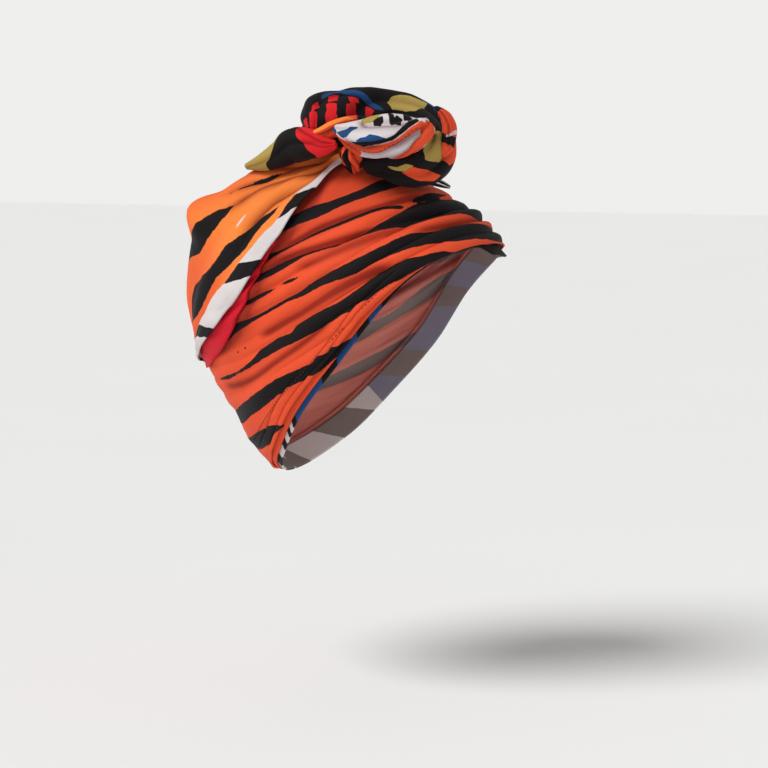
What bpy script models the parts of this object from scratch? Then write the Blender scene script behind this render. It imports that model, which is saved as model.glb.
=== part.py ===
"""Turban headwrap: a scarf wound round the head and tied in a rosette knot over the crown.

Metres, +Z up. The wearer faces -Y, and the wearer's right side is -X. The origin is the
top of the head hollow, straight above the middle of the rim, where the wrap sits.

A place on the wrap is given by its turn and its polar angle. The turn goes round the
wrap's own axis: 0 at the forehead, 90 at the right ear, -90 at the left ear, 180 at the
nape. The polar angle is 0 at the wrap's pole, on the back of the crown, and about 90 at
the rim. Lift is the height above the head.
"""

import math

import bmesh
import bpy
import numpy as np
from mathutils import Vector
from mathutils.bvhtree import BVHTree

MM = 0.001

# The head that the cloth is wound on
HEAD_LENGTH = 176 * MM  # nape to forehead, along the rim
HEAD_WIDTH = 146 * MM
HEAD_DEPTH = 120 * MM  # rim to pole
HEAD_FULLNESS = 2.5  # how full the head is from rim to pole, 2 is an ellipse
HEAD_ROUNDNESS = 2.0  # the same, round the rim
RIM_TILT = math.radians(45)  # how far the wrap's axis leans back

# The cloth and how closely its layers lie
CLOTH = 1.2 * MM
WELD = 0.02 * MM  # points nearer than this are one, as where a sheet closes round the head
LAYER_GAP = 0.5 * MM
ROLL_GAP = 0.6 * MM
SNUG = 0.3 * MM  # the innermost layer's clearance to the head

# The wrap's axes: across to the wearer's left, forward along the rim, and out of the pole
ACROSS = Vector((1, 0, 0))
FORWARD = Vector((0, -math.cos(RIM_TILT), math.sin(RIM_TILT)))
POLE = Vector((0, math.sin(RIM_TILT), math.cos(RIM_TILT)))

# Polar angle of each layer's lower edge, going round the head
RIM_TURN = (-180, -145, -118, -90, -58, -30, -8, 8, 30, 58, 90, 118, 145, 180)
BAND_EDGE = (93.0, 92.0, 89.5, 87.5, 84.5, 88.6, 92.2, 92.2, 89.4, 84.0, 87.0, 89.0, 92.0, 93.0)
FOLD_EDGE = (94.5, 94.0, 91.8, 89.5, 85.6, 87.6, 91.2, 91.0, 88.0, 85.3, 89.3, 91.4, 94.2, 94.5)
UNDER_EDGE = (96.0, 96.0, 93.8, 91.5, 87.0, 89.8, 94.0, 90.2, 87.0, 86.7, 91.4, 93.4, 96.0, 96.0)
STRIP_SPAN = 10  # degrees of polar angle that the two under layers reach up inside the band

# Tapering the band onto the head above its layered rim
RIM_FULL = 13  # degrees above the edge where the band still clears the under layers
RIM_EASED = 24

# The folds run with the stripes, which drift towards the rim as they come forward.
# A fold's track is its polar angle at the forehead.
DRIFT = 0.22  # degrees of polar angle for each degree of turn
DRIFT_ROUND = 9  # degrees over which the drift rounds off at the forehead and the nape
DRIFT_LEVELS = 60  # degrees from the nape over which it levels off
NAPE = 180  # turn at the nape
BAND_FOLDS = (
    # track, half width in degrees, then height in mm at forehead, temple, ear and nape
    {"track": 64.5, "spread": 3.6, "brow": 1.8, "temple": 1.6, "ear": 0.8, "nape": 0.3},
    {"track": 71.5, "spread": 3.4, "brow": 2.6, "temple": 2.6, "ear": 1.2, "nape": 0.5},
    {"track": 78.0, "spread": 3.2, "brow": 3.0, "temple": 2.8, "ear": 1.0, "nape": 0.4},
    {"track": 83.6, "spread": 2.5, "brow": 2.0, "temple": 1.8, "ear": 1.2, "nape": 0.6},
    {"track": 88.8, "spread": 2.7, "brow": 1.4, "temple": 2.4, "ear": 1.4, "nape": 0.6},
    {"track": 94.6, "spread": 3.0, "brow": 0.6, "temple": 1.8, "ear": 1.2, "nape": 0.6},
    {"track": 101.0, "spread": 3.4, "brow": 0.0, "temple": 0.8, "ear": 1.4, "nape": 0.8},
)
FOLD_TURNS = (0, 45, 95, 180)  # where a fold's four heights hold
BAND_COLUMNS = 48
BAND_ROWS = 24
CROWN_ROWS = 4
FOLDED_ZONE = 36  # polar angle above which the band lies smooth, under the drape
FOLDS_RISE = 8  # degrees below it over which the folds reach their height
FOLDS_END = 3  # degrees over which they die away at the edge

# The crown drape is a leaf of cloth laid over the band's pole. Its stations go along the
# middle from the knot to the nape, as signed polar angles, and its halves spread from them.
LEAF = (
    {"station": 44.0, "half": 5.0},
    {"station": 37.0, "half": 12.0},
    {"station": 32.5, "half": 17.0},
    {"station": 29.0, "half": 24.0},
    {"station": 23.0, "half": 31.0},
    {"station": 13.0, "half": 39.5},
    {"station": -8.0, "half": 44.3},
    {"station": -22.5, "half": 40.7},
    {"station": -33.0, "half": 33.5},
    {"station": -41.0, "half": 24.0},
    {"station": -46.0, "half": 14.0},
    {"station": -48.5, "half": 4.5},
)
DRAPE_COLUMNS = 24
DRAPE_ROWS = 19
DRAPE_MIDWAY = 12  # station halfway from the knot to the drape's corner
DRAPE_CORNER = -9  # station where the drape turns down over the back of the head
CORNER_DROP = 8  # degrees from the corner to where its ridges have come down
OVERHANG_DROP = 17  # degrees from the corner to the overhang
HEM_INNER = 0.78  # share of the leaf where the hem starts to rise over its facing
HEM_SLOPE = 0.1  # share over which it rises
DRAPE_RIDGES = (
    # share across the leaf, its half width, then height in mm at the knot, midway,
    # at the corner, just below it, on the overhang under that and at the nape
    {
        "share": -0.78, "spread": 0.13,
        "knot": 2.5, "mid": 3.0, "corner": 2.5, "below": 3.0, "low": 2.5, "nape": 0.5,
    },
    {
        "share": -0.40, "spread": 0.24,
        "knot": 3.5, "mid": 5.0, "corner": 7.0, "below": 2.0, "low": 2.5, "nape": 0.5,
    },
    {
        "share": 0.00, "spread": 0.20,
        "knot": 3.0, "mid": 3.5, "corner": 7.0, "below": 1.5, "low": 2.8, "nape": 0.5,
    },
    {
        "share": 0.32, "spread": 0.25,
        "knot": 3.5, "mid": 6.0, "corner": 14.5, "below": 3.0, "low": 3.2, "nape": 0.5,
    },
    {
        "share": 0.70, "spread": 0.15,
        "knot": 3.0, "mid": 4.0, "corner": 4.0, "below": 4.0, "low": 3.0, "nape": 0.5,
    },
    {
        "share": 0.93, "spread": 0.08,
        "knot": 1.0, "mid": 1.2, "corner": 1.2, "below": 1.2, "low": 1.2, "nape": 0.3,
    },
)

# The facing turned back under the drape's hem on each side
FACING_INNER = 0.86  # share of the leaf's half where it starts, under the hem
FACING = (
    # station, and degrees that the facing shows beyond the hem
    {"station": 12.0, "showing": 0.0},
    {"station": -2.0, "showing": 1.0},
    {"station": -8.0, "showing": 2.0},
    {"station": -22.5, "showing": 4.9},
    {"station": -33.0, "showing": 6.1},
    {"station": -41.0, "showing": 5.5},
    {"station": -46.0, "showing": 3.4},
    {"station": -48.5, "showing": 0.5},
)
FACING_ROWS = 14

# The knot stands over the crown, leaning towards the wearer's right temple
KNOT_HEADING = math.radians(-68)  # direction it faces, turned from the forehead to the right
KNOT_PLACE = Vector((-20, -6, 17)) * MM  # its middle, from the top of the head hollow
KNOT_LEAN = math.radians(27)
COIL_SIDES = 16

COIL = (
    # turn round the knot's axis from its rear end, ring radius, rise along the axis,
    # roll radius, all in mm
    {"turn": -3, "ring": 36, "rise": 1, "roll": 3.0},
    {"turn": 8, "ring": 35, "rise": 1, "roll": 9.5},
    {"turn": 22, "ring": 32, "rise": 0, "roll": 13.0},
    {"turn": 50, "ring": 29, "rise": -1, "roll": 15.0},
    {"turn": 90, "ring": 28, "rise": -2, "roll": 15.5},
    {"turn": 135, "ring": 27, "rise": -4, "roll": 15.0},
    {"turn": 175, "ring": 26, "rise": -6, "roll": 16.0},
    {"turn": 205, "ring": 26, "rise": -8, "roll": 15.0},
    {"turn": 235, "ring": 25, "rise": -9, "roll": 12.0},
    {"turn": 265, "ring": 22, "rise": -9, "roll": 9.0},
    {"turn": 295, "ring": 22, "rise": -9, "roll": 7.0},
    {"turn": 315, "ring": 22, "rise": -9, "roll": 3.0},
)
COIL_STATIONS = 36
COIL_PLEATS = 4
COIL_TWIST = 1.2  # turns that the pleats make along the coil
PLEAT_DEPTH = 0.18  # share of a roll's radius

# Each smaller roll is a path in the knot's own frame, in mm: ahead is to the right of
# someone who looks at the knot's face, up is +Z, and out is towards them.
ROLLS = {
    "crown_fold": {
        "sides": 12, "stations": 14, "pleats": 3, "twist": 0.15, "deep": 1.0,
        "path": (
            {"ahead": -80, "up": -24, "out": -12, "roll": 2.0},
            {"ahead": -67, "up": -16, "out": -8, "roll": 6.0},
            {"ahead": -56, "up": -10, "out": -4, "roll": 9.0},
            {"ahead": -48, "up": -6, "out": 3, "roll": 10.5},
            {"ahead": -40, "up": -6, "out": 10, "roll": 9.0},
            {"ahead": -32, "up": -6, "out": 14, "roll": 6.0},
            {"ahead": -25, "up": -5, "out": 16, "roll": 2.5},
        ),
    },
    "knot_neck": {
        "sides": 10, "stations": 8, "pleats": 3, "twist": 0.2, "deep": 1.0,
        "path": (
            {"ahead": -26, "up": -24, "out": 14, "roll": 2.0},
            {"ahead": -23, "up": -19, "out": 17, "roll": 4.5},
            {"ahead": -19, "up": -13, "out": 19, "roll": 5.0},
            {"ahead": -16, "up": -9, "out": 18, "roll": 2.5},
        ),
    },
    "knot_lobe": {
        "sides": 16, "stations": 18, "pleats": 5, "twist": 0.25, "deep": 1.3,
        "path": (
            {"ahead": -25, "up": 4, "out": 15, "roll": 2.5},
            {"ahead": -18, "up": 1, "out": 19, "roll": 7.5},
            {"ahead": -7, "up": -1, "out": 22, "roll": 12.0},
            {"ahead": 6, "up": -1, "out": 24, "roll": 13.5},
            {"ahead": 18, "up": 2, "out": 24, "roll": 11.0},
            {"ahead": 25, "up": 7, "out": 21, "roll": 6.5},
            {"ahead": 28, "up": 11, "out": 18, "roll": 2.5},
        ),
    },
    "knot_strand": {
        "sides": 10, "stations": 12, "pleats": 2, "twist": 0.5, "deep": 0.9,
        "path": (
            {"ahead": -44, "up": 1, "out": 9, "roll": 2.0},
            {"ahead": -36, "up": 3, "out": 11, "roll": 4.5},
            {"ahead": -26, "up": 6, "out": 10, "roll": 5.0},
            {"ahead": -15, "up": 10, "out": 8, "roll": 4.5},
            {"ahead": -5, "up": 14, "out": 9, "roll": 2.0},
        ),
    },
    "knot_pleat": {
        "sides": 10, "stations": 10, "pleats": 3, "twist": 0.1, "deep": 1.4,
        "path": (
            {"ahead": 30, "up": 15, "out": 2, "roll": 1.5},
            {"ahead": 35, "up": 10, "out": 7, "roll": 3.5},
            {"ahead": 37, "up": 3, "out": 11, "roll": 4.0},
            {"ahead": 36, "up": -5, "out": 14, "roll": 3.5},
            {"ahead": 33, "up": -11, "out": 17, "roll": 1.5},
        ),
    },
    "knot_tail": {
        "sides": 8, "stations": 8, "pleats": 2, "twist": 0.0, "deep": 0.7,
        "path": (
            {"ahead": 20, "up": -24, "out": 14, "roll": 2.0},
            {"ahead": 27, "up": -27, "out": 10, "roll": 3.8},
            {"ahead": 33, "up": -29, "out": 6, "roll": 3.4},
            {"ahead": 39, "up": -31, "out": 2, "roll": 1.6},
        ),
    },
}
REST_GAP = 0.35 * MM  # least gap between two sheets, and how they are eased apart
SETTLE_ROUNDS = 20
SETTLE_STEP = 0.35 * MM
PRESS_REACH = 16 * MM
FACING_SLANT = 0.7  # a point beside a sheet's edge does not lie under the sheet

COLOURS = {
    "wrap_band": (0.78, 0.13, 0.03),
    "rim_fold": (0.80, 0.15, 0.04),
    "under_band": (0.02, 0.09, 0.28),
    "crown_drape": (0.86, 0.25, 0.04),
    "hem_facing": (0.60, 0.01, 0.02),
    "crown_fold": (0.45, 0.02, 0.02),
    "knot_coil": (0.02, 0.02, 0.025),
    "knot_lobe": (0.75, 0.68, 0.64),
    "knot_neck": (0.80, 0.20, 0.04),
    "knot_strand": (0.80, 0.17, 0.04),
    "knot_pleat": (0.30, 0.24, 0.04),
    "knot_tail": (0.03, 0.03, 0.03),
}


def smooth_table(at, places, values):
    """A smooth curve through a table's rows, with no overshoot, read at each value of at."""
    places, values = np.asarray(places, float), np.asarray(values, float)
    if places[0] > places[-1]:
        places, values = places[::-1], values[::-1]
    steps = np.diff(values) / np.diff(places)
    slopes = np.zeros_like(values)
    rising = steps[:-1] * steps[1:] > 0
    slopes[1:-1][rising] = (2 * steps[:-1] * steps[1:])[rising] / (steps[:-1] + steps[1:])[rising]
    at = np.clip(np.asarray(at, float), places[0], places[-1])
    i = np.clip(np.searchsorted(places, at, "right") - 1, 0, len(steps) - 1)
    width = places[i + 1] - places[i]
    s = (at - places[i]) / width
    return (
        (1 + 2 * s) * (1 - s) ** 2 * values[i]
        + s * (1 - s) ** 2 * width * slopes[i]
        + s * s * (3 - 2 * s) * values[i + 1]
        + s * s * (s - 1) * width * slopes[i + 1]
    )


def column(rows, name):
    return [row[name] for row in rows]


def eased(x):
    """0 below 0, 1 above 1, and a smooth step between."""
    x = np.clip(x, 0, 1)
    return x * x * (3 - 2 * x)


def as_array(vector):
    return np.array(vector, float)


AXES = np.stack([as_array(ACROSS), as_array(FORWARD), as_array(POLE)])
HALVES = np.array([HEAD_WIDTH / 2, HEAD_LENGTH / 2, HEAD_DEPTH])


def head_radius(directions):
    """Distance from the rim's middle to the head along unit directions in the wrap's axes."""
    shares = np.abs(directions / HALVES)
    round_rim = (shares[..., :2] ** HEAD_ROUNDNESS).sum(-1) ** (HEAD_FULLNESS / HEAD_ROUNDNESS)
    return (round_rim + shares[..., 2] ** HEAD_FULLNESS) ** (-1 / HEAD_FULLNESS)


# The origin is straight above the rim's middle, on the head
RIM_MIDDLE = np.array([0, 0, -float(head_radius(AXES @ np.array([0, 0, 1.0])))])


def head_normals(local):
    shares = np.abs(local / HALVES)
    rim = (shares[..., :2] ** HEAD_ROUNDNESS).sum(-1, keepdims=True) + 1e-9
    slope = shares ** (HEAD_FULLNESS - 1)
    slope[..., :2] = rim ** (HEAD_FULLNESS / HEAD_ROUNDNESS - 1) * shares[..., :2] ** (HEAD_ROUNDNESS - 1)
    slope *= np.sign(local) / HALVES
    return slope / np.linalg.norm(slope, axis=-1, keepdims=True)


def place(turn, polar, lift):
    """Points at these turns and polar angles, in degrees, lifted off the head."""
    turn, polar, lift = np.broadcast_arrays(np.radians(turn), np.radians(polar), lift)
    directions = np.stack(
        [-np.sin(polar) * np.sin(turn), np.sin(polar) * np.cos(turn), np.cos(polar)], -1
    )
    surface = directions * head_radius(directions)[..., None]
    return RIM_MIDDLE + (surface + head_normals(surface) * lift[..., None]) @ AXES


def lift_off_head(points, least):
    """Moves points that lie lower than least above the head straight out to it."""
    local = (points - RIM_MIDDLE) @ AXES.T
    distance = np.linalg.norm(local, axis=-1, keepdims=True)
    directions = local / distance
    radius = head_radius(directions)[..., None]
    slant = (head_normals(directions * radius) * directions).sum(-1, keepdims=True)
    return RIM_MIDDLE + directions * np.maximum(distance, radius + least / slant) @ AXES


def drift(turn):
    """How far a stripe has come up from the rim since the forehead, in degrees."""
    turn = np.abs(turn)
    from_brow = np.hypot(turn, DRIFT_ROUND) - DRIFT_ROUND
    from_nape = np.hypot(NAPE - turn, DRIFT_ROUND) - DRIFT_ROUND
    ahead = eased((NAPE - turn) / DRIFT_LEVELS)
    return DRIFT * (from_brow * ahead + (NAPE - from_nape) * (1 - ahead))


def edge_of(layer, turn):
    return smooth_table(turn, RIM_TURN, layer)


UNDER_LIFT = SNUG
FOLD_LIFT = UNDER_LIFT + CLOTH + LAYER_GAP
BAND_RIM_LIFT = FOLD_LIFT + CLOTH + LAYER_GAP


def band_lift(turn, polar):
    """Height of the band's inner face above the head."""
    above_edge = edge_of(BAND_EDGE, turn) - polar
    seat = SNUG + (BAND_RIM_LIFT - SNUG) * eased((RIM_EASED - above_edge) / (RIM_EASED - RIM_FULL))
    track = polar + drift(turn)
    folds = 0
    for fold in BAND_FOLDS:
        heights = [fold[name] for name in ("brow", "temple", "ear", "nape")]
        height = smooth_table(np.abs(turn), FOLD_TURNS, heights) * MM
        ridge = np.clip(1 - np.abs(track - fold["track"]) / fold["spread"], 0, 1)
        folds = folds + height * np.sqrt(eased(ridge))
    rising = eased((polar - FOLDED_ZONE) / FOLDS_RISE)
    ending = eased((above_edge + 1) / FOLDS_END)
    return seat + folds * rising * ending


def leaf_polar(share, station):
    """Turn and polar angle of a place on the drape, from its share across the leaf."""
    half = smooth_table(station, column(LEAF, "station"), column(LEAF, "half"))
    side = share * half
    return np.degrees(np.arctan2(side, station)), np.hypot(side, station)


DRAPE_STATIONS = (
    LEAF[0]["station"],
    DRAPE_MIDWAY,
    DRAPE_CORNER,
    DRAPE_CORNER - CORNER_DROP,
    DRAPE_CORNER - OVERHANG_DROP,
    LEAF[-1]["station"],
)
RIDGE_HEIGHTS = ("knot", "mid", "corner", "below", "low", "nape")
HEM_RISE = 2 * CLOTH  # clears the facing turned back under the hem
FACING_LIFT = 0.5 * MM  # its clearance over the band


def drape_lift(share, station):
    """Height of the drape's inner face above the head."""
    turn, polar = leaf_polar(share, station)
    seat = band_lift(turn, polar) + CLOTH + LAYER_GAP
    hem = HEM_RISE * eased((np.abs(share) - HEM_INNER) / HEM_SLOPE)
    ridges = 0
    for ridge in DRAPE_RIDGES:
        heights = [ridge[name] for name in RIDGE_HEIGHTS]
        height = smooth_table(station, DRAPE_STATIONS, heights) * MM
        near = np.clip(1 - np.abs(share - ridge["share"]) / ridge["spread"], 0, 1)
        ridges = ridges + height * eased(near)
    return seat + hem + ridges


def knot_axes():
    """Ahead, up and out as rows: the frame of someone who looks at the knot's face."""
    ahead = (math.cos(KNOT_HEADING), math.sin(KNOT_HEADING), 0)
    out = (math.sin(KNOT_HEADING), -math.cos(KNOT_HEADING), 0)
    return np.array([ahead, (0, 0, 1), out], float)


def new_object(name, mesh, colour):
    obj = bpy.data.objects.new(name, mesh)
    wrap_parts.objects.link(obj)
    material = bpy.data.materials.new(name + "_cloth")
    material.use_nodes = True
    shader = material.node_tree.nodes["Principled BSDF"]
    shader.inputs["Base Color"].default_value = (*colour, 1)
    shader.inputs["Roughness"].default_value = 0.75
    shader.inputs["Metallic"].default_value = 0
    mesh.materials.append(material)
    mesh.shade_smooth()
    return obj


def shift(bm, distance):
    for vert in bm.verts:
        vert.co += vert.normal * distance


def skin_at(bm, distance):
    """The sheet's surface moved along its normals, for finding what lies against it."""
    shift(bm, distance)
    skin = BVHTree.FromBMesh(bm)
    shift(bm, -distance)
    return skin


def rest(bm, below):
    """Eases a sheet off the cloth below it wherever it would come nearer than it may."""
    bm.faces.ensure_lookup_table()
    for _ in range(SETTLE_ROUNDS):
        bm.normal_update()
        underside = skin_at(bm, -REST_GAP)
        touching = {mine for skin, _ in below for mine, _ in underside.overlap(skin)}
        if not touching:
            return
        for vert in {vert for face in touching for vert in bm.faces[face].verts}:
            vert.co += vert.normal * SETTLE_STEP


def cloth_sheet(name, columns, rows, mapping, colour, below=()):
    """A grid laid on the head by mapping(across, along), both from 0 to 1, as walls of cloth."""
    bm = bmesh.new()
    bmesh.ops.create_grid(bm, x_segments=columns, y_segments=rows, size=1)
    flat = np.array([vert.co for vert in bm.verts])
    points = mapping((flat[:, 0] + 1) / 2, (flat[:, 1] + 1) / 2)
    for vert, point in zip(bm.verts, points):
        vert.co = point
    bmesh.ops.remove_doubles(bm, verts=bm.verts, dist=WELD)
    bm.normal_update()
    middle = Vector(RIM_MIDDLE)
    if sum((face.calc_center_median() - middle).dot(face.normal) for face in bm.faces) < 0:
        bmesh.ops.reverse_faces(bm, faces=bm.faces)
    bm.normal_update()
    rest(bm, below)
    bm.normal_update()
    skin = skin_at(bm, CLOTH)
    mesh = bpy.data.meshes.new(name)
    bm.to_mesh(mesh)
    bm.free()
    obj = new_object(name, mesh, colour)
    wall = obj.modifiers.new("cloth", "SOLIDIFY")
    wall.thickness = CLOTH
    wall.offset = 1
    return skin, BVHTree.FromObject(obj, bpy.context.evaluated_depsgraph_get())


def make_band():
    """The main wrap: it closes over the crown and ends in the folded rim."""
    rows = BAND_ROWS + CROWN_ROWS

    def mapping(across, along):
        turn = 360 * across - 180
        row = along * rows
        edge = edge_of(BAND_EDGE, turn)
        folded = edge + (FOLDED_ZONE - edge) * row / BAND_ROWS
        crown = FOLDED_ZONE * (rows - row) / CROWN_ROWS
        polar = np.where(row <= BAND_ROWS, folded, crown)
        return place(turn, polar, band_lift(turn, polar))

    return cloth_sheet("wrap_band", BAND_COLUMNS, rows, mapping, COLOURS["wrap_band"])


def make_rim_strip(name, layer, lift):
    def mapping(across, along):
        turn = 360 * across - 180
        polar = edge_of(layer, turn) - STRIP_SPAN * along
        return place(turn, polar, lift)

    return cloth_sheet(name, BAND_COLUMNS, 1, mapping, COLOURS[name])


def make_drape(below):
    first, last = LEAF[0]["station"], LEAF[-1]["station"]

    def mapping(across, along):
        share = 2 * across - 1
        station = first + (last - first) * along
        turn, polar = leaf_polar(share, station)
        return place(turn, polar, drape_lift(share, station))

    colour = COLOURS["crown_drape"]
    return cloth_sheet("crown_drape", DRAPE_COLUMNS, DRAPE_ROWS, mapping, colour, below)


def make_facing(name, side, below):
    """The turned-back facing that shows as a wedge below the drape's hem."""
    stations, showing = column(FACING, "station"), column(FACING, "showing")

    def mapping(across, along):
        station = stations[0] + (stations[-1] - stations[0]) * along
        turn, polar = leaf_polar(side * (FACING_INNER + (1 - FACING_INNER) * across), station)
        polar = polar + smooth_table(station, stations, showing) * across
        return place(turn, polar, band_lift(turn, polar) + CLOTH + FACING_LIFT)

    return cloth_sheet(name, 2, FACING_ROWS, mapping, COLOURS["hem_facing"], below)


def frame_along(path):
    """Unit tangents and a pair of steady normals at each point of a path."""
    tangents = np.gradient(path, axis=0)
    tangents /= np.linalg.norm(tangents, axis=1, keepdims=True)
    normals = np.empty_like(path)
    guide = np.array([0, 0, 1.0])
    for i, tangent in enumerate(tangents):
        guide = guide - tangent * (guide @ tangent)
        guide /= np.linalg.norm(guide)
        normals[i] = guide
    return tangents, normals, np.cross(tangents, normals)


def roll_rings(path, radii, sides, pleats, twist, deep):
    """Rings of a gathered roll of cloth: round ridges with sharp valleys that wind along it."""
    _, first, second = frame_along(path)
    around = np.linspace(0, 2 * math.pi, sides, endpoint=False)
    along = np.linspace(0, 1, len(path))[:, None]
    phase = pleats * (around[None, :] + 2 * math.pi * twist * along) / 2
    radius = radii[:, None] * (1 - PLEAT_DEPTH + PLEAT_DEPTH * np.abs(np.sin(phase)))
    return (
        path[:, None, :]
        + (radius * np.cos(around))[..., None] * first[:, None, :]
        + (radius * deep * np.sin(around))[..., None] * second[:, None, :]
    )


def pushed(point, skin, margin):
    """The point moved off a skin that faces it, to lie at least the margin above it."""
    spot, normal, _, distance = skin.find_nearest(Vector(point))
    depth = (Vector(point) - spot).dot(normal)
    if depth >= margin or distance > PRESS_REACH or abs(depth) < FACING_SLANT * distance:
        return point
    return as_array(spot + normal * margin)


def press(points, faces, neighbours):
    """Moves a roll's points off the cloth that it lies against, until nothing touches."""
    points = lift_off_head(points, BAND_RIM_LIFT)
    margins = np.full(len(points), ROLL_GAP)
    for _ in range(SETTLE_ROUNDS):
        for skin, _ in neighbours:
            points = np.array([pushed(point, skin, margin) for point, margin in zip(points, margins)])
        body = BVHTree.FromPolygons([Vector(point) for point in points], faces)
        touching = {mine for _, other in neighbours for mine, _ in body.overlap(other)}
        if not touching:
            break
        for i in {i for face in touching for i in faces[face]}:
            margins[i] += SETTLE_STEP
            outward = points[i] - RIM_MIDDLE
            points[i] += outward * (SETTLE_STEP / np.linalg.norm(outward))
    return points


def roll_faces(stations, sides):
    faces = [tuple(reversed(range(sides)))]
    for ring in range(stations - 1):
        for side in range(sides):
            beside = (side + 1) % sides
            start, end = ring * sides, (ring + 1) * sides
            faces.append((start + side, start + beside, end + beside, end + side))
    faces.append(tuple(range((stations - 1) * sides, stations * sides)))
    return faces


def make_roll(name, rings, neighbours):
    """A closed roll lofted through its rings and pressed against the cloth around it."""
    stations, sides = rings.shape[:2]
    faces = roll_faces(stations, sides)
    points = press(rings.reshape(-1, 3).copy(), faces, neighbours)
    mesh = bpy.data.meshes.new(name)
    mesh.from_pydata([Vector(p) for p in points], [], faces)
    bm = bmesh.new()
    bm.from_mesh(mesh)
    if bm.calc_volume(signed=True) < 0:
        bmesh.ops.reverse_faces(bm, faces=bm.faces)
    body = BVHTree.FromBMesh(bm)
    bm.to_mesh(mesh)
    bm.free()
    new_object(name, mesh, COLOURS[name])
    return body, body


def coil_path():
    """The big roll's centreline: most of a turn round the leaning axis of the knot."""
    ahead, up, out = knot_axes()
    axis = math.cos(KNOT_LEAN) * up + math.sin(KNOT_LEAN) * out
    over = math.sin(KNOT_LEAN) * up - math.cos(KNOT_LEAN) * out
    turns = np.linspace(COIL[0]["turn"], COIL[-1]["turn"], COIL_STATIONS)
    ring, rise, roll = (
        smooth_table(turns, column(COIL, "turn"), column(COIL, name)) * MM
        for name in ("ring", "rise", "roll")
    )
    angle = np.radians(turns)
    across = -np.cos(angle)[:, None] * ahead + np.sin(angle)[:, None] * over
    return as_array(KNOT_PLACE) + across * ring[:, None] + axis * rise[:, None], roll


def roll_path(rows, stations):
    places = np.linspace(0, len(rows) - 1, stations)
    ahead, up, out, roll = (
        smooth_table(places, range(len(rows)), column(rows, name)) * MM
        for name in ("ahead", "up", "out", "roll")
    )
    return as_array(KNOT_PLACE) + np.stack([ahead, up, out], 1) @ knot_axes(), roll


def make_knot(neighbours):
    for name, roll in ROLLS.items():
        if name == "knot_neck":
            path, radii = coil_path()
            rings = roll_rings(path, radii, COIL_SIDES, COIL_PLEATS, COIL_TWIST, 1)
            neighbours.append(make_roll("knot_coil", rings, neighbours))
        path, radii = roll_path(roll["path"], roll["stations"])
        rings = roll_rings(path, radii, roll["sides"], roll["pleats"], roll["twist"], roll["deep"])
        neighbours.append(make_roll(name, rings, neighbours))


for old in list(bpy.data.objects):
    bpy.data.objects.remove(old, do_unlink=True)
wrap_parts = bpy.data.collections.new("turban_headwrap")
bpy.context.scene.collection.children.link(wrap_parts)

make_rim_strip("under_band", UNDER_EDGE, UNDER_LIFT)
make_rim_strip("rim_fold", FOLD_EDGE, FOLD_LIFT)
band = make_band()
right = make_facing("hem_facing_right", 1, [band])
left = make_facing("hem_facing_left", -1, [band])
make_knot([band, make_drape([band, right, left])])
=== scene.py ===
"""Turban headwrap: a printed jersey scarf, wound round and tied in a knot over the crown."""

import math

import bmesh
import bpy
import numpy as np
from bpy.props import FloatProperty, FloatVectorProperty, PointerProperty
from bpy.types import Operator, Panel, PropertyGroup
from mathutils import Matrix, Vector, noise


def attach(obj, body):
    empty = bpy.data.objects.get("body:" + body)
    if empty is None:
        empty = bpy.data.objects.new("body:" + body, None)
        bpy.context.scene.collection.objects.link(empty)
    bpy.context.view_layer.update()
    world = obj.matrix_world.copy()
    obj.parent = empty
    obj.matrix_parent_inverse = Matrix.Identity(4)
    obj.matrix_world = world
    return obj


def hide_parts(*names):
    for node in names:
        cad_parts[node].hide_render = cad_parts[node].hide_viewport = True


bl_info = {
    "name": "Turban headwrap",
    "version": (1, 0, 0),
    "blender": (4, 5, 0),
    "location": "View3D > Sidebar > Headwrap",
    "description": "Dresses the headwrap in printed jersey and lights it",
    "category": "Object",
}

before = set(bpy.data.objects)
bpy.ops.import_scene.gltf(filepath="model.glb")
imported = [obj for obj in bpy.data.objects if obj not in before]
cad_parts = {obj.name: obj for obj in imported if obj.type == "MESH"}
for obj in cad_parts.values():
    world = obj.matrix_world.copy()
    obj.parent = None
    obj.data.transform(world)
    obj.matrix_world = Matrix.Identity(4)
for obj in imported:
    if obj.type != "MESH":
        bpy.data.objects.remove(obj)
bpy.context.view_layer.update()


def table(names, *rows):
    """Rows of a table, each with its columns by name."""
    return [dict(zip(names.split(), row)) for row in rows]


def route(*rows):
    """A roll's path, in mm from the knot's middle, with the roll's radius at each place."""
    return table("ahead up out roll", *rows)


def creases(*rows):
    """Creases, each with its depth in mm, the side that drops and the places along it."""
    return table("depth side line", *rows)


MM = 0.001
PIXELS = 768  # across the picture
SENSOR = 36.0  # mm across the camera's sensor
STITCH_PROUD = 0.3 * MM  # how far the band's stitches stand out of it
THREAD = 0.28 * MM  # half the width of the thread
STITCH_BROWN = (0.06, 0.02, 0.015, 1)  # what the thread's colour strays towards
FADED = 0.38  # how far the print has faded on the cloth's back
NO_PRINT = -9  # mm, well outside any block of colour
PRINT_EDGE = 0.14  # mm over which a printed edge blends to each side
FIBRE = 0.12  # mm that the fibres fray it
PAINTED_SHADE_MOST = 0.85  # how far the darkest painted shade darkens the colour towards the shade colour
LOOP_LEAN = 1.7  # how far the knit's rows bend round its columns
WALE_DEPTH = 0.6  # how high its columns stand beside its rows

# Noise in the cloth: how fine it is, its detail and its roughness
RAGGED = (190, 3.0, 0.6)
FRAYED = (900, 2.0)
MOTTLED = (28, 3.0)
SPECKLED = (1500, 1.0)
CREASED = (75, 3.0, 0.55)
WORN = (420, 2.0)
SPUN = (2500, 1.0)
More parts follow.
